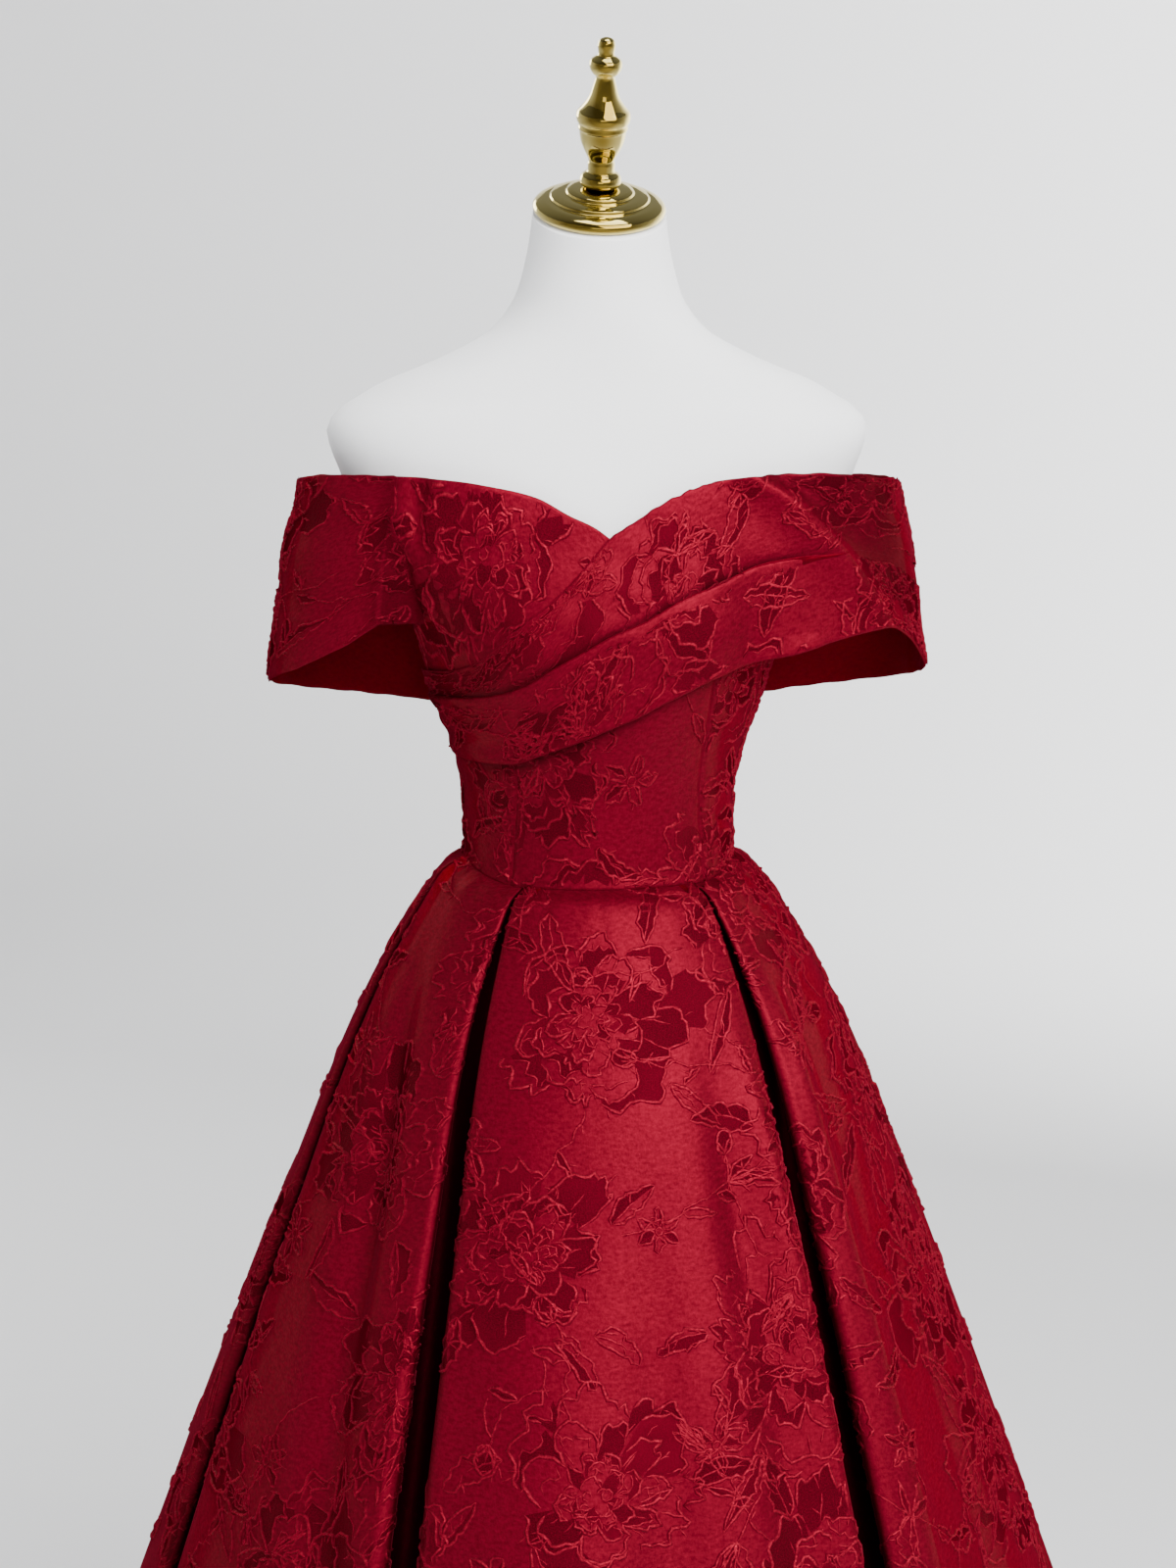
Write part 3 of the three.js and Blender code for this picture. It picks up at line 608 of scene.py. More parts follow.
def bodice_panel(name, left, right, columns):
    t = spaced(0, 1, columns, 0.6)[:, None]
    s = spaced(0, 1, BODICE_ROWS, 0.5)[None, :]
    guess = mix(1040, 1245, s)
    azimuth = mix(left(guess), right(guess), t)
    z = mix(waist_z(azimuth) - 0.7, bodice_top(azimuth), s)
    p = at(azimuth, bodice_radius(azimuth, z), z)
    across, along = flat_map(p)
    dip = seam_dip(p.shape[:2], across, along, ("left", "right"))
    dip = np.maximum(dip, seam_dip(p.shape[:2], across, along, ("start",), 0.4, 1.6))
    radius = bodice_radius(azimuth, z) - dip + np.minimum(strain(azimuth, z), 1.0)
    # Painted shadow on the bodice just under the over wrap's bottom edge
    under_edge = smooth(OVER, 3, azimuth) - z
    shade = 0.92 * ramp(under_edge, -3, 0) * np.exp(-np.maximum(under_edge - 1.5, 0) / 4)
    shade = shade * (1 - ramp(azimuth, 62, 72)) * ramp(azimuth, -92, -84)
    return cloth_shell(name + "_cloth", at(azimuth, radius, z), CLOTH, name, depth=shade)


def seam_gap(z):
    return 0.1 / bodice_radius(45, z) / RAD


bodice = [bodice_panel("bodice_front", lambda z: -princess(z) + seam_gap(z),
                       lambda z: princess(z) - seam_gap(z), 60)]
for side, s in (("l", -1), ("r", 1)):
    bodice.append(bodice_panel(
        f"bodice_side_{side}", lambda z, s=s: s * (princess(z) + seam_gap(z)),
        lambda z, s=s: s * (SIDE_SEAM - seam_gap(z)), 40))
    bodice.append(bodice_panel(
        f"bodice_back_{side}", lambda z, s=s: s * (SIDE_SEAM + seam_gap(z)),
        lambda z, s=s: s * back_edge(85), 56))


# Wraps

def right_crease(azimuth, z):
    """The right shoulder band turns sharply from the front to the side of the arm."""
    d = azimuth - np.interp(z, CREASE[:, 0], CREASE[:, 1])
    return (6.5 * np.exp(-(d / 3.2) ** 2) * ramp(z, 1215, 1260)
            - 8.0 * bell(d, 9, 6) * ramp(z, 1200, 1250)
            - 2.6 * bell(d, -8, 5) * ramp(z, 1215, 1260))


def crease_painted_shade(azimuth, z):
    """How much painted shade darkens the cloth beyond the crease."""
    d = azimuth - np.interp(z, CREASE[:, 0], CREASE[:, 1])
    return 0.42 * ramp(d, 0, 5) * (1 - ramp(azimuth, 96, 118)) * ramp(z, 1205, 1240)


def crimped(azimuth, z, edge):
    """Height with the slight unevenness of a turned edge of puckered cloth."""
    return z + 0.55 * waves(azimuth * 2.2, 0 * azimuth, 77, 13) * bell(z, edge, 5)


def wrap_over():
    stations = np.concatenate([np.linspace(-86, 40, 78), np.linspace(41.2, 89.95, 60)])
    top = smooth(OVER, 1, stations)
    fold = smooth(OVER, 2, stations)
    bottom = smooth(OVER, 3, stations)
    step = 1 - ramp(stations, 50, 66)
    base = OVER_LIFT - UNDER_LIFT
    back = 0.24 * step
    front = (0.36 + 2 * BAND_CLOTH) * step
    rows = [(mix(top, fold - 11 * step, t), base + 0 * top) for t in spaced(0, 1, 22, 0.3)]
    for k, (drop, rise) in enumerate(((11.6, 0.5), (11, 1), (6, 1), (1.6, 1)), 1):
        rows.append((fold - drop * step - 0.05 * k, base + rise * back))
    for angle in np.linspace(20, 160, 6):
        a = angle * RAD
        rows.append((fold + step * 0.9 * math.sin(a) - 0.25 - 0.02 * angle,
                     base + mix(back, front, (1 - math.cos(a)) / 2)))
    rows += [(mix(fold - 1.6 * step - 4, bottom, t), base + front) for t in spaced(0, 1, 26, 0.3)]
    z, lift = (np.stack([r[k] for r in rows], 1) for k in (0, 1))
    azimuth = np.broadcast_to(stations[:, None], z.shape)
    radius = band_radius(azimuth, z, lift, ramp(azimuth, 34, 54))
    outer = ramp(lift, base + 0.5, base + 1.2)
    radius = (radius + right_crease(azimuth, z)
              + 2.4 * bell(z, bottom[:, None], 9) * outer * ramp(azimuth, -84, -58)
              - 1.6 * (1 - ramp(azimuth, -86, -66)) * outer
              - 2.0 * (1 - ramp(z, 1146, 1184)) * (1 - ramp(azimuth, -80, -50))
              + 0.9 * ramp(-azimuth, 30, 80) * waves(z, azimuth * 0.15, 11, 19)
              + 0.5 * waves(z + 0.5 * azimuth, azimuth, 12, 46))
    hem = np.arange(len(rows)) >= len(rows) - 5
    thick = np.where(hem[None, :], BAND_HEM, BAND_CLOTH) + 0 * z
    # Painted shade on the upper layer just above the pleat line, and painted shade beyond the
    # crease
    above = z - (fold + 0.9 * step)[:, None]
    shade = 0.75 * np.exp(-np.maximum(above, 0) / 3.5) * step[:, None] * (np.arange(len(rows)) < 26)
    shade = np.maximum(shade, crease_painted_shade(azimuth, z))
    return cloth_shell("wrap_over_cloth", at(azimuth, radius, crimped(azimuth, z, top[:, None])),
                       thick, "wrap_over", hidden_rows=[(18.3, 32.5)], depth=shade)


def under_freedom(azimuth, z):
    full = mix(0.85, 1.0, ramp(z, 1284, 1318))
    return full * ramp(z, 1195, 1290) * ramp(-azimuth, 10, 45)


def under_radius(azimuth, z):
    """The under wrap without its small waves, with a soft dent beside the arm."""
    dent = 2.2 * bell(z, 1238, 5) * bell(azimuth, -43, 7)
    return band_radius(azimuth, z, 0, under_freedom(azimuth, z)) - dent


def wrap_under():
    columns = []
    for azimuth in np.linspace(30, -56, 56):
        top, bottom = (float(smooth(UNDER, c, azimuth)) for c in (1, 2))
        z = np.linspace(top, bottom, BAND_ROWS)
        radius = under_radius(azimuth, z)
        radius = radius + 0.5 * waves(z, azimuth, 21, 40) * ramp(-azimuth, 0, 30)
        columns.append(at(azimuth, radius, z))
    for share in np.linspace(0, 1, 12)[1:]:
        z = np.linspace(mix(1346, 1347.6, share), 1190, BAND_ROWS)
        azimuth = mix(-56, smooth(UNDER_END, 1, z), share)
        start = under_radius(-56, z)
        end = smooth(UNDER_END, 2, z) + UNDER_LIFT
        joined = ramp(z, 1286, 1316)
        azimuth = mix(azimuth, mix(-56, -63.4, share), joined)
        end = mix(end, band_radius(azimuth, z, -0.3, 1), joined)
        bodied = bodice_radius(azimuth, z) + UNDER_LIFT
        radius = mix(start, end, ramp(share, 0, 1))
        radius = np.where(z < 1240, mix(bodied, radius, ramp(z, 1215, 1240)), radius)
        columns.append(at(azimuth, radius, z))
    p = np.stack(columns)
    # Painted shade in the last columns, where the under wrap folds in beside the sleeve
    last = (len(columns) - 1 - np.arange(len(columns)))[:, None]
    shade = 0.6 * np.exp(-(last / 3.5) ** 2) * ramp(p[..., 2], 1225, 1250)
    return cloth_shell("wrap_under_cloth", p, BAND_CLOTH, "wrap_under", depth=shade)


def sleeve_column(rows, azimuth, lift, start, seed):
    """One column of a sleeve band, from its upper edge down to its hem."""
    high, low = (float(smooth(rows, c, azimuth)) for c in (1, 2))
    z = spaced(high, low, SLEEVE_ROWS, 0.3)
    soft = ramp(abs(azimuth), *start) * (1 - ramp(abs(azimuth), 150, 176))
    radius = (band_radius(azimuth, z, lift, 1) + right_crease(azimuth, z)
              + 1.1 * soft * waves(z, azimuth, seed, 60))
    edges = crimped(azimuth, z, high) - crimped(azimuth, z, low)
    return at(azimuth, radius, edges + z)


def sleeve_left():
    stations = np.concatenate([np.linspace(-62.8, -89, 30),
                               np.linspace(-90, -back_edge(95), 70)])
    columns = [sleeve_column(SLEEVE_L, a, 0.6, (62, 72), 31) for a in stations]
    z = spaced(1347.2, 1238, SLEEVE_ROWS, 0.3)
    held = np.maximum(z, 1244)
    tuck = at(smooth(UNDER_END, 1, held) + 2.2, smooth(UNDER_END, 2, held) + UNDER_LIFT - 1.7, z)
    tuck = mix(tuck, at(-62.2, band_radius(-62.2, z, 0.1, 1), z), ramp(z, 1288, 1318)[:, None])
    lead = [mix(tuck, columns[0], t) for t in (0, 0.2, 0.45, 0.7, 0.86, 0.95)]
    p = np.stack(lead + columns)
    # Painted shade on the sleeve's first columns, where it tucks in beside the under wrap
    beyond = np.maximum(np.arange(len(p)) + 1 - len(lead), 0)
    shade = 0.5 * np.exp(-(beyond / 3) ** 2)[:, None] + 0 * p[..., 2]
    return cloth_shell("sleeve_l_cloth", p, BAND_CLOTH, "sleeve_l", depth=shade)


def sleeve_right():
    stations = np.linspace(90.05, back_edge(95), 84)
    lifts = mix(OVER_LIFT - UNDER_LIFT, 0.6, ramp(stations, 95, 130))
    p = np.stack([sleeve_column(SLEEVE_R, a, lift, (96, 110), 41)
                  for a, lift in zip(stations, lifts)])
    # Painted shade on the side of the arm beyond the crease
    return cloth_shell("sleeve_r_cloth", p, BAND_CLOTH, "sleeve_r",
                       depth=crease_painted_shade(stations[:, None], p[..., 2]))


over = wrap_over()
under = wrap_under()
left_sleeve = sleeve_left()
right_sleeve = sleeve_right()


# Skirt

def flare_radius(azimuth, drop):
    a = np.asarray(azimuth, float) * RAD
    half = smooth(FLARE, 1, drop)
    depth = np.where(np.cos(a) > 0, 85 + (half - 106) * 0.98, 80 + (half - 106))
    return 1 / np.hypot(np.sin(a) / half, np.cos(a) / depth)


def swing(at_waist, at_hem, share):
    return at_hem + (at_waist - at_hem) * np.exp(-3 * share)


def soft_rise(azimuth, share):
    rise = 0
    for waist, hem, height, width, start, full in SOFT:
        a = (azimuth - swing(waist, hem, share)) / width
        rise = rise + height * ramp(share, start, full) * np.exp(-a * a)
    return rise


def skirt_z(azimuth, share):
    return mix(waist_z(azimuth) - 0.1, HEM_Z, share)


def skirt_point(azimuth, share):
    azimuth, share = np.broadcast_arrays(np.asarray(azimuth, float), share)
    radius = flare_radius(azimuth, share * DROP) + soft_rise(azimuth, share)
    return at(azimuth, radius, skirt_z(azimuth, share))


def azimuth_of(p):
    return np.arctan2(p[..., 0], -p[..., 1]) / RAD


def rounded(points, counts):
    """Dense line through control points [rows, k, 2], free of overshoot."""
    d = np.diff(points, axis=1)
    size = np.linalg.norm(d, axis=-1, keepdims=True)
    way = d / np.maximum(size, 1e-6)
    tangent = np.zeros_like(points)
    tangent[:, 0] = d[:, 0]
    tangent[:, -1] = d[:, -1]
    tangent[:, 1:-1] = unit(way[:, :-1] + way[:, 1:]) * np.minimum(size[:, :-1], size[:, 1:])
    parts = []
    for k, count in enumerate(counts):
        t = np.linspace(0, 1, count, endpoint=False)[None, :, None]
        parts.append(hermite(points[:, k:k + 1], points[:, k + 1:k + 2],
                             tangent[:, k:k + 1], tangent[:, k + 1:k + 2], t))
    parts.append(points[:, -1:])
    return np.concatenate(parts, axis=1)


def pleat_half(pleat, side, share):
    """Half of an inverted pleat in plan for every row, from the panel's face to its bottom."""
    centre = swing(pleat[0], pleat[1], share)
    opening, roll, back, mid, full = (smooth(PLEAT_SHAPE, c, share) for c in (1, 2, 3, 4, 5))
    edge = opening / 2
    origin = skirt_point(centre, share)[..., :2]
    step = (edge + roll) / np.linalg.norm(origin, axis=-1) / RAD
    face = skirt_point(centre + side * step, share)[..., :2]
    along = at(centre + 90, 1, 0)[..., :2]
    inward = at(centre, -1, 0)[..., :2]

    def place(u, v):
        return origin + along * (side * u)[:, None] + inward * v[:, None]

    return np.stack([
        face,
        place(edge, roll),
        place(edge + np.minimum(roll, back * 0.6), np.maximum(2 * roll, mid * 0.82)),
        place(edge + back, mid),
        place(edge + mix(back, back * 0.62, ramp(share, 0, 0.2)), full - 0.1 * (full - 3.9)),
        place(0 * edge + 0.2, full),
    ], axis=1)


def skirt_panel(name, left, right, columns, back_side=0):
    share = np.concatenate([[0, 0.0012, 0.003, 0.0055], np.linspace(0.009, 0.06, 12),
                            np.linspace(0.070, 0.984, 76), [0.9905, 0.994, 0.9975, 1]])
    end = back_side * back_edge(flare_radius(180, share * DROP))
    near = pleat_half(left, 1, share) if left else None
    far = pleat_half(right, -1, share) if right else None
    start = azimuth_of(near[:, 0]) if left else end
    stop = azimuth_of(far[:, 0]) if right else end
    t = np.linspace(0, 1, columns)[None, :]
    azimuth = mix(start[:, None], stop[:, None], t)
    face = skirt_point(azimuth, share[:, None])
    parts = [face[..., :2]]
    if left:
        line = rounded(near, PLEAT_COUNTS)[:, :0:-1]
        parts.insert(0, line)
    if right:
        parts.append(rounded(far, PLEAT_COUNTS)[:, 1:])
    plan = np.concatenate(parts, axis=1)
    z = skirt_z(azimuth_of(plan), share[:, None])
    p = np.concatenate([plan, z[..., None]], -1).transpose(1, 0, 2)
    across, along = flat_map(p)
    n = grid_normals(p)
    v = np.broadcast_to(along, p.shape[:2])
    edges = ["start"] + [n for n, pleat in (("left", left), ("right", right)) if not pleat]
    dip = seam_dip(p.shape[:2], across, along, edges)
    az = azimuth_of(p)
    pucker = 0.5 * waves(az * 1.9, v * 0.12, 51, 15) * np.exp(-v / 26) * ramp(v, 1, 9)
    drape = 1.3 * waves(across, v * 0.18, 52, 150) * ramp(v, 60, 300)
    last = p.shape[0] - 1
    show = (PLEAT_COLUMNS if left else 0, last - (PLEAT_COLUMNS if right else 0))
    column = np.arange(p.shape[0])[:, None] + 0 * v
    nowhere = 0 * column - 99
    far_in = np.maximum(show[0] - column if left else nowhere,
                        column - show[1] if right else nowhere)
    p = p + n * ((pucker + drape - dip) * (1 - ramp(far_in, -6, -2)))[..., None]
    tucked = np.exp(-(v / 3.2) ** 2)
    inward = at(az, -1, 0)
    p = p + inward * (1.5 * tucked)[..., None]
    p[..., 2] += 1.9 * tucked
    thick = np.where(v > v[:, -1:] - SKIRT_HEM_DEPTH, SKIRT_HEM, SKIRT_CLOTH)
    # Painted shade deep inside the pleats, fading out near the waist
    painted_shade = ramp(far_in, -4.6, -1.4) * ramp(v, 2, 16)
    return cloth_shell(name + "_cloth", p, thick, name, show, depth=painted_shade)


BACK_L, SIDE_L, FRONT_L, FRONT_R, SIDE_R, BACK_R = PLEATS
skirt = [
    skirt_panel("skirt_front", FRONT_L, FRONT_R, 62),
    skirt_panel("skirt_side_front_l", SIDE_L, FRONT_L, 43),
    skirt_panel("skirt_side_front_r", FRONT_R, SIDE_R, 43),
    skirt_panel("skirt_side_back_l", BACK_L, SIDE_L, 66),
    skirt_panel("skirt_side_back_r", SIDE_R, BACK_R, 66),
    skirt_panel("skirt_back_r", BACK_R, None, 34, 1),
    skirt_panel("skirt_back_l", None, BACK_L, 34, -1),
]


# Woven figures

FLOWER_SIZE = (68, 84)
# Least and most petals, start and reach as shares of the flower, share of petals left out
PETAL_RINGS = [
    ((4, 6), 0.06, 0.19, 0), ((7, 10), 0.15, 0.33, 0), ((7, 10), 0.27, 0.47, 0.1),
    ((6, 9), 0.40, 0.66, 0), ((6, 9), 0.54, 0.88, 0), ((7, 10), 0.72, 1.1, 0.45),
]
OUTLINE_RISE = (1.0, 1.9)
OUTLINE_SINK = -0.12
# Painted shade along the feet of each raised outline
OUTLINE_PAINTED_SHADE = 0.85
FILL_RISE = 0.14


class Drawing:
    """Lines and filled areas of flower figures, in flat cloth millimetres."""

    def __init__(self, seed, step):
        self.rng = np.random.default_rng(seed)
        self.step = step
        self.lines = []
        self.fills = []

    def line(self, points, width=2.4, wobble=0.7):
        points = np.asarray(points, float)
        s = np.concatenate([[0], np.cumsum(np.linalg.norm(np.diff(points, axis=0), axis=1))])
        if s[-1] < 5:
            return
        n = max(3, int(round(s[-1] / self.step)) + 1)
        q = np.stack([np.interp(np.linspace(0, s[-1], n), s, points[:, k]) for k in (0, 1)], 1)
        q[1:-1] += self.rng.normal(0, wobble, (n - 2, 2))
        self.lines.append((q, width))
        for k in np.flatnonzero(self.rng.random(n - 2) < 0.07) + 1:
            way = q[k + 1] - q[k]
            turn = self.rng.choice([-1, 1]) * self.rng.uniform(0.5, 1.3)
            c, s1 = math.cos(turn), math.sin(turn)
            tick = np.array([c * way[0] - s1 * way[1], s1 * way[0] + c * way[1]])
            self.lines.append((q[k] + np.outer([0, 0.8, self.rng.uniform(1.3, 2.0)], tick), 1.7))

    def fill(self, grid, shade):
        self.fills.append((np.asarray(grid, float), np.asarray(shade, float)))


def turned_by(x, y, angle, centre):
    c, s = math.cos(angle), math.sin(angle)
    return np.stack([centre[0] + c * x - s * y, centre[1] + s * x + c * y], -1)


def walk(start, way, step):
    """Points reached from the start, one step along each direction in turn."""
    steps = np.stack([np.cos(way), np.sin(way)], 1) * step
    return np.array(start) + np.concatenate([[[0, 0]], np.cumsum(steps, axis=0)])


def petal_ring(d, place, edge, count, base, reach, skipped):
    """One ring of ragged petals outside the edge reached so far; returns the new edge."""
    rng = d.rng
    round_the = np.linspace(0, 2 * math.pi, 361)
    widths = rng.uniform(0.6, 1.4, count)
    widths *= 2 * math.pi / widths.sum()
    borders = rng.uniform(0, 2 * math.pi) + np.concatenate([[0], np.cumsum(widths)])
    new_edge = edge.copy()
    x = np.linspace(-1, 1, 15)
    for m in range(count):
        if rng.random() < skipped:
            continue
        theta = mix(borders[m], borders[m + 1], (x + 1) / 2)
        tip = reach * rng.uniform(0.8, 1.15)
        lean = x + rng.uniform(-0.45, 0.45) * (1 - x * x)
        outer = base + (tip - base) * (1 - np.abs(lean) ** 2.1) ** 0.6
        teeth = rng.uniform(0.015, 0.055) * reach
        outer[1:-1] += teeth * np.sign(np.sin(x * rng.uniform(7, 12) + rng.uniform(0, 6)))[1:-1]
        outer[1:-1] += rng.normal(0, 0.022 * reach, 13)
        inner = np.interp(theta, round_the, edge, period=2 * math.pi)
        clear = outer > inner + 1
        if clear.sum() < 4:
            continue
        d.line(place(theta[clear], outer[clear]), 2.6 if reach > 30 else 2.0, wobble=0.7)
        near = np.linspace(float(inner[0]), float(outer[0]), 4)
        d.line(place(np.full(4, theta[0]), near), 1.9)
        depth = np.maximum(outer - inner, 0)
        new_edge = np.maximum(new_edge, np.interp(
            (round_the - theta[0]) % (2 * math.pi), theta - theta[0], outer, right=0))
        if depth.max() < 11:
            continue
        style = rng.random()
        split = np.clip(rng.uniform(0.45, 0.75) + 0.12 * np.sin(x * rng.uniform(3, 6))
                        + rng.normal(0, 0.05, 15), 0.2, 0.9)
        low, high = (0.0, 1.0) if style < 0.30 else (0.0, split) if style < 0.55 else (split, 1.0)
        if style < 0.75:
            low, high = np.broadcast_to(low, 15), np.broadcast_to(high, 15)
            s = low[:, None] + (high - low)[:, None] * np.linspace(0.02, 0.98, 5)
            grid = place(theta[:, None], inner[:, None] + s * depth[:, None])
            shade = rng.uniform(0.6, 0.95) + rng.uniform(-0.3, 0.2) * s
            d.fill(grid[clear], shade[clear])
        if style >= 0.30:
            part = clear & (x > rng.uniform(-1, -0.5)) & (x < rng.uniform(0.5, 1))
            if part.sum() > 3 and style < 0.9:
                d.line(place(theta[part], (inner + split * depth)[part]), 1.8, wobble=0.7)
        for vein in rng.choice([-0.55, -0.2, 0.15, 0.5], rng.integers(0, 3), replace=False):
            k = np.linspace(0.08, rng.uniform(0.4, 0.7), 5)
            angle = np.interp(vein + 0.3 * k * rng.uniform(-1, 1), x, theta)
            d.line(place(angle, np.interp(vein, x, inner) + k * np.interp(vein, x, depth)), 1.6)
    return new_edge


def flower(d, centre, turn, size):
    rng = d.rng
    squash = rng.uniform(0.76, 0.98)
    off = np.array([rng.uniform(-0.14, 0.14), rng.uniform(-0.16, 0.16)]) * size

    def place(theta, radius):
        x = radius * np.cos(theta) + off[0] * (1 - radius / size)
        y = squash * radius * np.sin(theta) + off[1] * (1 - radius / size)
        return turned_by(x, y, turn, centre)

    edge = 0.07 * size * (1 + 0.1 * np.sin(np.linspace(0, 2 * math.pi, 361) * 3))
    for k in range(rng.integers(5, 9)):
        r = rng.uniform(0.02, 0.26) * size
        a = rng.uniform(0, 6.28) + np.linspace(0, rng.uniform(2, 5), 6)
        centre_x, centre_y = r * math.cos(3.7 * k), r * math.sin(3.7 * k)
        x, y = centre_x + 3.4 * np.cos(a), centre_y + 3.4 * np.sin(a)
        d.lines.append((place(np.arctan2(y, x), np.hypot(y, x)), 1.8))
    for count, base, reach, skipped in PETAL_RINGS:
        edge = petal_ring(d, place, edge, rng.integers(*count), base * size, reach * size,
                          skipped)


def leaf(d, base, angle, length, width, bend=0.0, dark=0.6):
    rng = d.rng
    s = np.linspace(0, 1, 12)
    way = angle + bend * (s - 0.3)
    mid = walk(base, way[1:], length / 11)
    side = np.stack([-np.sin(way), np.cos(way)], 1)
    half = width / 2 * np.sin(math.pi * s ** 0.8) ** 0.8
    saw = 1 + 0.22 * np.where(np.arange(12) % 2, 1, -1) * rng.uniform(0.3, 1.3, 12)
    left = mid + side * (half * saw)[:, None]
    right = mid - side * (half * rng.uniform(0.45, 1.1) * saw[::-1])[:, None]
    d.line(left, wobble=0.8)
    d.line(right, wobble=0.8)
    if width > 9:
        d.line(mid[:rng.integers(7, 12)], 1.7, wobble=0.7)
    if width > 14:
        for k in rng.choice([3, 4, 5, 6, 7], 2, replace=False):
            border = left if rng.random() < 0.5 else right
            d.line([mid[k], mix(mid[k + 1], border[k + 2], 0.8)], 1.5)
    for border in (left, right):
        if rng.random() < dark:
            t = np.linspace(0.03, 0.97, 3)[None, :, None]
            grid = mid[:, None] + t * (border - mid)[:, None]
            d.fill(grid, np.full(grid.shape[:2], rng.uniform(0.6, 1.0)))


def vine(d, start, angle, length, curl=0.5):
    rng = d.rng
    n = max(6, int(length / 7))
    way = angle + np.cumsum(rng.normal(0, 0.16, n)) + curl * np.sin(np.linspace(0, 3.2, n))
    way = way + np.where(rng.random(n) < 0.2, rng.uniform(-1.2, 1.2, n), 0)
    path = walk(start, way, length / n)
    d.line(path, 1.8, wobble=0.7)
    return path, way


def sprig(d, base, angle, size):
    rng = d.rng
    for k in range(rng.integers(3, 6)):
        turn = angle + rng.uniform(-0.9, 0.9)
        leaf(d, base, turn, size * rng.uniform(0.7, 1.15), size * rng.uniform(0.16, 0.26),
             rng.uniform(-0.5, 0.5), 0.35)


def blossom(d, centre, size):
    rng = d.rng
    start = rng.uniform(0, 6.28)
    count = rng.integers(5, 7)
    for k in range(count):
        angle = start + k * 2 * math.pi / count
        base = np.array(centre) + 0.2 * size * np.array([math.cos(angle), math.sin(angle)])
        leaf(d, base, angle, size * rng.uniform(0.7, 0.95), size * 0.5, 0.0, 0.35)
    a = np.linspace(0, 2 * math.pi, 8)
    d.lines.append((np.array(centre) + 0.16 * size * np.stack([np.cos(a), np.sin(a)], 1), 1.7))


def bud(d, centre, angle, size):
    a = np.linspace(-2.6, 2.6, 12)
    oval = turned_by(size * 0.5 * np.cos(a), size * 0.34 * np.sin(a), angle, centre)
    d.line(oval)
    d.fill(turned_by(size * 0.44 * np.cos(a)[:, None] * np.array([0.05, 0.5, 1]),
                     size * 0.3 * np.sin(a)[:, None] * np.array([0.05, 0.5, 1]), angle, centre),
           np.full((12, 3), 0.8))
    base = turned_by(-0.5 * size, 0.0, angle, centre)
    for turn in (-0.6, 0.6):
        leaf(d, base, angle + turn, size * 0.7, size * 0.2, -turn, 0.3)
    vine(d, base, angle + math.pi, size * 1.6)


def layout(seed, x0, x1, y0, y1, pitch, step):
    """Flowers, leaves, buds and vines over a flat area, on a loose half-drop grid."""
    d = Drawing(seed, step)
    rng = d.rng
    columns = max(1, int(round((x1 - x0) / pitch[0])))
    rows = max(1, int(math.ceil((y1 - y0) / pitch[1])))
    across = (x1 - x0) / columns
    drift = rng.uniform(0, 1)
    for i in range(columns + 1):
        for j in range(-1, rows + 1):
            cx = x0 + (i + 0.12 + 0.25 * (j % 2)) * across + rng.uniform(-14, 14)
            cy = y0 + (j + drift + 0.5 * (i % 2)) * pitch[1] + rng.uniform(-10, 10)
            if not (x0 - 60 < cx < x1 + 60 and y0 - 60 < cy < y1 + 60):
                continue
            size = rng.uniform(*FLOWER_SIZE)
            flower(d, (cx, cy), rng.uniform(0, 6.28), size)
            first = rng.uniform(0, 6.28)
            for k in range(rng.integers(3, 5)):
                a = first + k * 1.5 + rng.uniform(-0.3, 0.3)
                base = (cx + 0.95 * size * math.cos(a), cy + 0.9 * size * math.sin(a))
                leaf(d, base, a + rng.uniform(-0.6, 0.6), rng.uniform(40, 66),
                     rng.uniform(12, 21), rng.uniform(-1.1, 1.1))
            for k in range(3):
                a = first + 0.8 + 2.1 * k + rng.uniform(-0.4, 0.4)
                base = (cx + size * math.cos(a), cy + 0.9 * size * math.sin(a))
                path, way = vine(d, base, a, rng.uniform(60, 105), rng.uniform(-0.8, 0.8))
                if k == 2:
                    leaf(d, path[-1], way[-1], rng.uniform(24, 34), rng.uniform(7, 11), 0.5, 0.4)
                elif k:
                    sprig(d, path[-1], way[-1], rng.uniform(26, 38))
                else:
                    bud(d, path[-1] + 9 * np.array([math.cos(way[-1]), math.sin(way[-1])]),
                        way[-1], rng.uniform(17, 23))
                leaf(d, path[len(path) // 2], way[len(way) // 2] + rng.choice([-0.8, 0.8]),
                     rng.uniform(18, 28), rng.uniform(5, 8), 0.3, 0.3)
            if rng.random() < 0.6:
                blossom(d, (cx + 0.5 * across + rng.uniform(-8, 8),
                            cy + rng.uniform(-24, 24)), rng.uniform(17, 24))
    return d


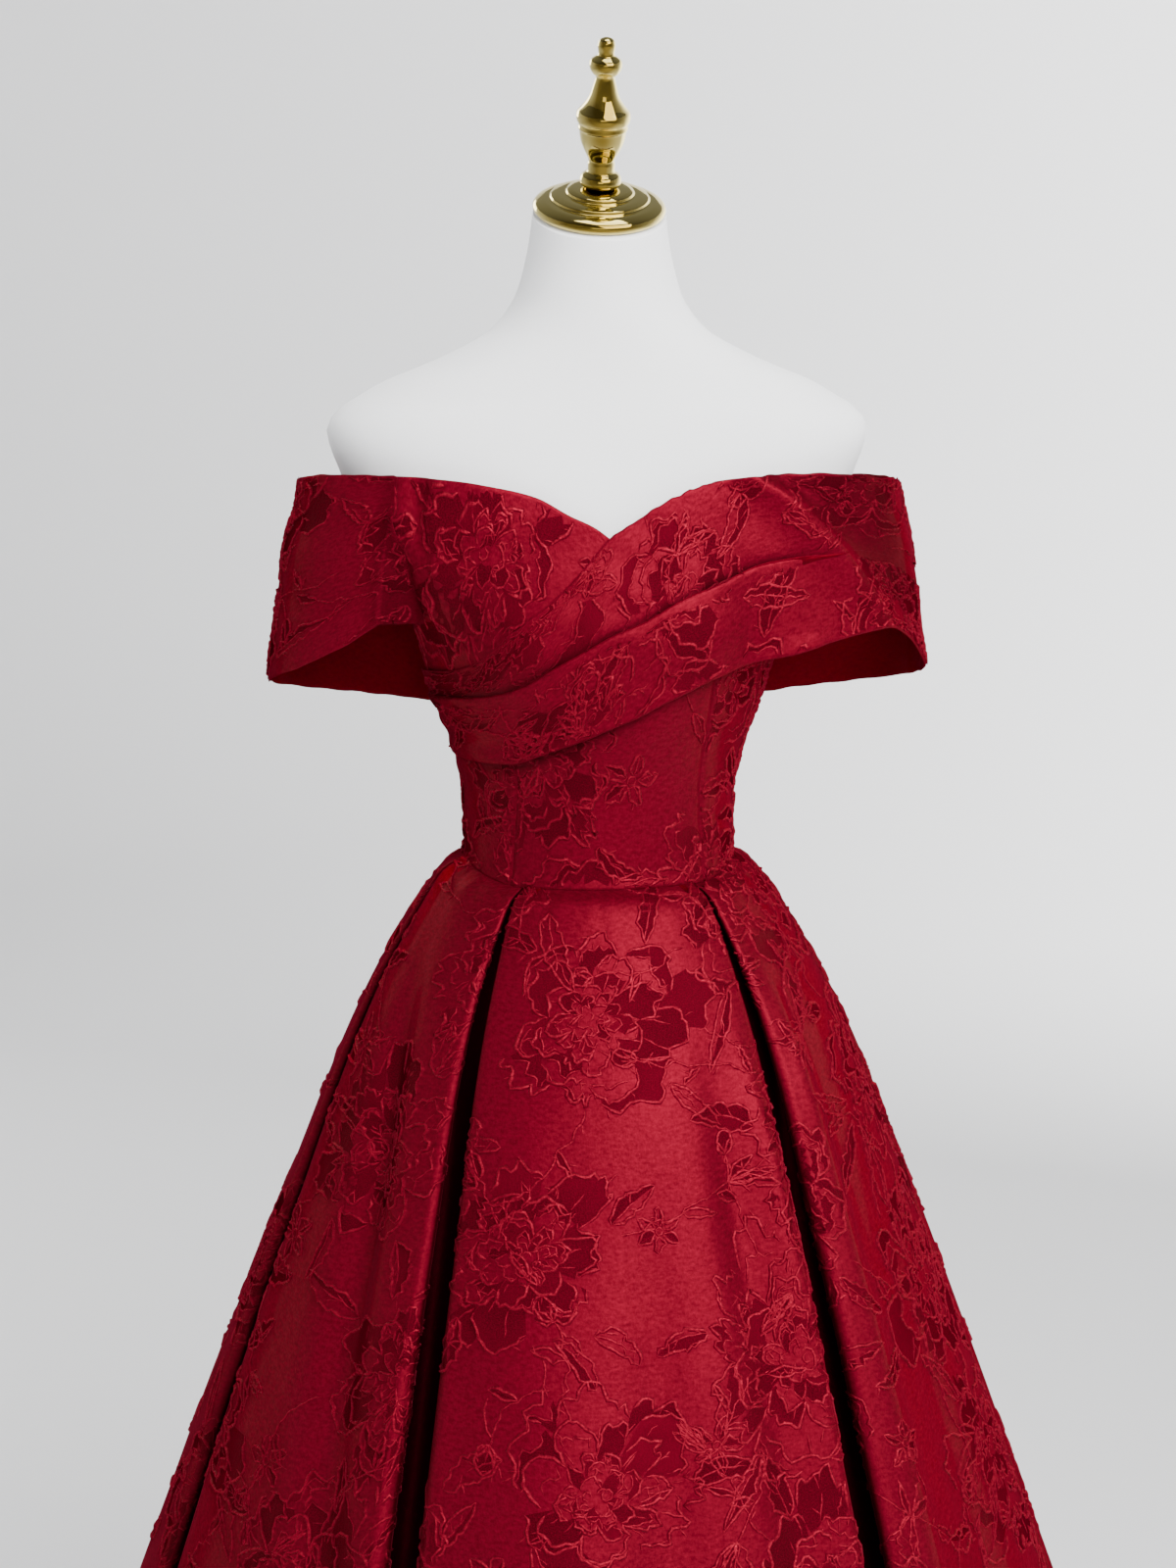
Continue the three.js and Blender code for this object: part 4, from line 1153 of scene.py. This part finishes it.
def on_cloth(c, xy, height):
    """Points of the cloth's face at flat places, raised along the normal, whether they are in
    sight, and the cloth's painted shade there.
    """
    p, n, across, along = c["p"], c["n"], c["across"], c["along"]
    v = -xy[:, 1]
    j = np.clip(np.interp(v, along, np.arange(len(along))), 0, len(along) - 1.001)
    j0 = j.astype(int)
    f = j - j0
    row = across[:, j0] * (1 - f) + across[:, j0 + 1] * f
    x = np.clip(xy[:, 0], row[0] + 0.6, row[-1] - 0.6)
    i0 = np.clip((row <= x).sum(axis=0) - 1, 0, len(across) - 2)
    k = np.arange(len(x))
    g = (x - row[i0, k]) / np.maximum(row[i0 + 1, k] - row[i0, k], 1e-6)
    low, high = c["show"]
    inside = (v > along[0] + 0.8) & (v < along[-1] - 0.8)
    inside &= (xy[:, 0] > row[low] + 0.8) & (xy[:, 0] < row[high] - 0.8)
    for first, last in c["hidden_rows"]:
        inside &= (j < first) | (j > last)

    def value(grid):
        a = grid[i0, j0] * (1 - f)[:, None] + grid[i0, j0 + 1] * f[:, None]
        b = grid[i0 + 1, j0] * (1 - f)[:, None] + grid[i0 + 1, j0 + 1] * f[:, None]
        return a * (1 - g)[:, None] + b * g[:, None]

    return (value(p) + unit(value(n)) * np.asarray(height)[:, None], inside,
            value(c["painted_shade"])[:, 0])


def figures(cloth, seed, pitch, step):
    """Raised outlines and darker filled areas of the jacquard, lying on one cloth."""
    c = CLOTHS[cloth]
    low, high = c["show"]
    x0, x1 = float(c["across"][low].min()), float(c["across"][high].max())
    d = layout(seed, x0, x1, -float(c["along"][-1]), 0.0, pitch, step)
    rng = d.rng
    points, faces, kinds = [], [], []

    def put(flat, height, shade, painted_shade, quads, kind):
        """Add a strip or filled area: places, heights, marks, and quads of its own points."""
        columns = (np.broadcast_to(values, len(flat)) for values in (height, shade, painted_shade))
        points.append(np.column_stack([flat, *columns]))
        faces.append(quads)
        kinds.append(np.full(len(quads), kind))

    for path, width in d.lines:
        n = len(path)
        way = unit(np.gradient(path, axis=0))
        side = np.stack([-way[:, 1], way[:, 0]], 1)
        taper = np.minimum(1, np.minimum(np.arange(n), np.arange(n)[::-1]) + 0.35)
        half = (width / 1.55 * rng.uniform(0.75, 1.2, n) * taper)[:, None]
        strip = np.stack([path + side * half, path, path - side * half], 1).reshape(-1, 2)
        crest = rng.uniform(*OUTLINE_RISE, n) * taper * (width / 2.3)
        foot = np.full(n, OUTLINE_SINK)
        height = np.stack([foot, crest, foot], 1).ravel()
        k = 3 * np.arange(n - 1)
        quads = np.concatenate([np.stack([k + o, k + o + 1, k + o + 4, k + o + 3], 1)
                                for o in (0, 1)])
        # Painted shade on both feet of the outline, none on its crest
        painted_shade = np.tile([OUTLINE_PAINTED_SHADE, 0.0, OUTLINE_PAINTED_SHADE], n)
        put(strip, height, 0, painted_shade, quads, 0)
    for grid, dark in d.fills:
        ids = np.arange(dark.size).reshape(dark.shape)
        put(grid.reshape(-1, 2), FILL_RISE, np.clip(dark.ravel(), 0, 1), 0, grid_quads(ids), 1)
    starts = np.cumsum([0] + [len(rows) for rows in points[:-1]])
    faces = np.concatenate([start + quads for start, quads in zip(starts, faces)])
    points, kinds = np.concatenate(points), np.concatenate(kinds)
    xy, height, shade, painted_shade = points[:, :2], points[:, 2], points[:, 3], points[:, 4]
    verts, inside, cloth_painted_shade = on_cloth(c, xy, height)
    # Figures take on the painted shade of the cloth beneath them
    painted_shade = np.maximum(painted_shade, cloth_painted_shade)
    keep = inside[faces].all(axis=1)
    faces, kinds = faces[keep], kinds[keep]
    used, where = np.unique(faces, return_inverse=True)
    faces = where.reshape(-1, 4)
    verts, xy = verts[used], xy[used]
    a, b, e, f = (verts[faces[:, k]] for k in range(4))
    normal = np.cross(e - a, f - b)
    n0 = on_cloth(c, xy, np.ones(len(xy)))[0] - on_cloth(c, xy, np.zeros(len(xy)))[0]
    wrong = np.sum(normal * n0[faces[:, 0]], axis=1) < 0
    faces[wrong] = faces[wrong][:, ::-1]
    name = cloth.name.replace("_cloth", "_figures")
    obj = to_object(name, verts, [faces], xy, [THREAD, FILL], [kinds])
    mark(obj, "shade", shade[used])
    mark(obj, "painted_shade", painted_shade[used])
    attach(obj, "root")
    return obj


def spacing(cloth):
    """Distance between flowers across and along, and the length of an outline's segments."""
    if "skirt" not in cloth.name:
        return (150, 142), 4.0
    return ((196, 186), 6.0) if "_back_" in cloth.name else ((172, 164), 4.7)


cloths = bodice + [over, under, left_sleeve, right_sleeve] + skirt
figured = {cloth: figures(cloth, 100 + k, *spacing(cloth)) for k, cloth in enumerate(cloths)}


# Form, neck cap, finial and stand

def ring_stack(name, rings, material, node):
    """Closed body from rings of points with a fan at each end."""
    count = rings.shape[1]
    ids = np.arange(rings.shape[0] * count).reshape(rings.shape[0], count)
    low, high = np.full(count, ids.size), np.full(count, ids.size + 1)
    fan_low = np.stack([low, np.roll(ids[0], -1), ids[0]], -1)
    fan_high = np.stack([high, ids[-1], np.roll(ids[-1], -1)], -1)
    verts = np.concatenate([rings.reshape(-1, 3), rings[0].mean(0)[None],
                            rings[-1].mean(0)[None]])
    faces = [ring_quads(ids), fan_low, fan_high]
    index = [np.zeros(len(f)) for f in faces]
    obj = to_object(name, verts, faces, None, [material], index)
    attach(obj, "root")
    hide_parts(node)
    return obj


def form_rings():
    z = np.concatenate([[742.0, 742.4, 743.5, 745.5], np.linspace(748, 1396, 70),
                        np.linspace(1400, 1534, 40), [1536, 1536.7]])
    azimuth = np.linspace(-180, 180, 108, endpoint=False)
    zz, aa = np.meshgrid(z, azimuth, indexing="ij")
    radius = section(FORM, aa, zz) + cups(aa, zz) - FORM_EASE
    p = at(aa, radius, zz)
    p[..., 2] += math.tan(NECK_TILT * RAD) * ramp(zz, 1440, 1520) * p[..., 1]
    p[..., 1] += CAP_Y * ramp(zz, 1400, 1500)
    return p


def lathe_rings(profile, steps, rounding=4):
    pts = np.array(profile, float)
    dense = rounded(pts[None], [rounding] * (len(pts) - 1))[0, 1:-1]
    a = np.linspace(0, 2 * math.pi, steps, endpoint=False)
    x = dense[:, :1] * np.cos(a)[None]
    y = dense[:, :1] * np.sin(a)[None]
    z = np.broadcast_to(dense[:, 1:], x.shape)
    return np.stack([x, y, z], -1)


def on_neck(p):
    c, s = math.cos(NECK_TILT * RAD), math.sin(NECK_TILT * RAD)
    x, y, z = p[..., 0], p[..., 1], p[..., 2]
    return np.stack([x, c * y - s * z + CAP_Y, s * y + c * z + CAP_Z], -1)


form = ring_stack("form_cover", form_rings(), JERSEY, "form_body")
ring_stack("neck_cap_turned", on_neck(lathe_rings(CAP_PROFILE, 80)), GOLD, "neck_cap")
ring_stack("finial_turned", on_neck(lathe_rings(FINIAL_PROFILE, 64)), GOLD, "finial")
ring_stack("stand_base_disc", lathe_rings(BASE_PROFILE, 80), PAINT, "stand_base")
ring_stack("stand_pole_tube", lathe_rings(POLE_PROFILE, 48, 2), PAINT, "stand_pole")


# Stage, light and camera

FLOOR_REACH = 5000
WALL_BEND = 2500
WALL_TOP = 6500


def sweep():
    """Pale floor that curves up into a round wall far behind the camera and the form."""
    bend = np.linspace(0, math.pi / 2, 14)
    radius = np.concatenate([[1500, 3000, 4500], FLOOR_REACH + WALL_BEND * np.sin(bend),
                             [FLOOR_REACH + WALL_BEND]])
    height = np.concatenate([[0, 0, 0], WALL_BEND - WALL_BEND * np.cos(bend), [WALL_TOP]])
    a = np.linspace(0, 2 * math.pi, 96, endpoint=False)
    rings = np.stack([radius[:, None] * np.cos(a), radius[:, None] * np.sin(a),
                      np.broadcast_to(height[:, None], (len(radius), len(a)))], -1)
    ids = np.arange(len(radius) * len(a)).reshape(-1, len(a))
    quads = ring_quads(ids)[:, ::-1]
    fan = np.stack([np.full(len(a), ids.size), ids[0], np.roll(ids[0], -1)], -1)
    verts = np.concatenate([rings.reshape(-1, 3), [[0, 0, 0]]])
    obj = to_object("floor", verts, [quads, fan], None, [FLOOR],
                    [np.zeros(len(quads)), np.zeros(len(fan))])


# Name, place, target, size, power in watts
LIGHTS = [
    ("key", (1.3, -2.8, 3.4), (0, 0, 1.1), (2.6, 2.6), 305),
    ("front", (-0.4, -4.7, 1.9), (0, 0, 1.1), (2.0, 1.2), 45),
    ("top", (0.2, -0.4, 3.6), (0, 0, 1.3), (1.2, 1.2), 42),
    ("back_left", (-1.8, 3.2, 2.6), (0, 0, 1.0), (1.6, 1.6), 60),
    ("back_right", (2.8, 2.4, 3.0), (4.8, 5.6, 1.9), (1.8, 1.2), 560),
]
CAMERA_PLACE = (-0.2683, -2.2843, 1.4982)
CAMERA_TILT = 80.25
CAMERA_TURN = -6.5
CAMERA_LENS = 69.1
CAMERA_SENSOR = 36


def softbox(name, place, target, size, power):
    light = bpy.data.lights.new(name, "AREA")
    light.shape = "RECTANGLE"
    light.size, light.size_y = size
    light.energy = power
    obj = bpy.data.objects.new(name, light)
    obj.location = place
    way = np.array(target) - np.array(place)
    obj.rotation_euler = (math.atan2(math.hypot(way[0], way[1]), -way[2]), 0,
                          math.atan2(way[1], way[0]) - math.pi / 2)
    bpy.context.scene.collection.objects.link(obj)


world = bpy.data.worlds.new("studio")
world.use_nodes = True
sky = world.node_tree.nodes["Background"]
sky.inputs["Color"].default_value = (0.95, 0.97, 1.0, 1)
sky.inputs["Strength"].default_value = 0.27
bpy.context.scene.world = world
sweep()
for light in LIGHTS:
    softbox(*light)

camera = bpy.data.cameras.new("photo_camera")
camera.lens = CAMERA_LENS
camera.sensor_width = CAMERA_SENSOR
view = bpy.data.objects.new("photo_camera", camera)
view.location = CAMERA_PLACE
view.rotation_euler = (CAMERA_TILT * RAD, 0, CAMERA_TURN * RAD)
bpy.context.scene.collection.objects.link(view)
bpy.context.scene.camera = view
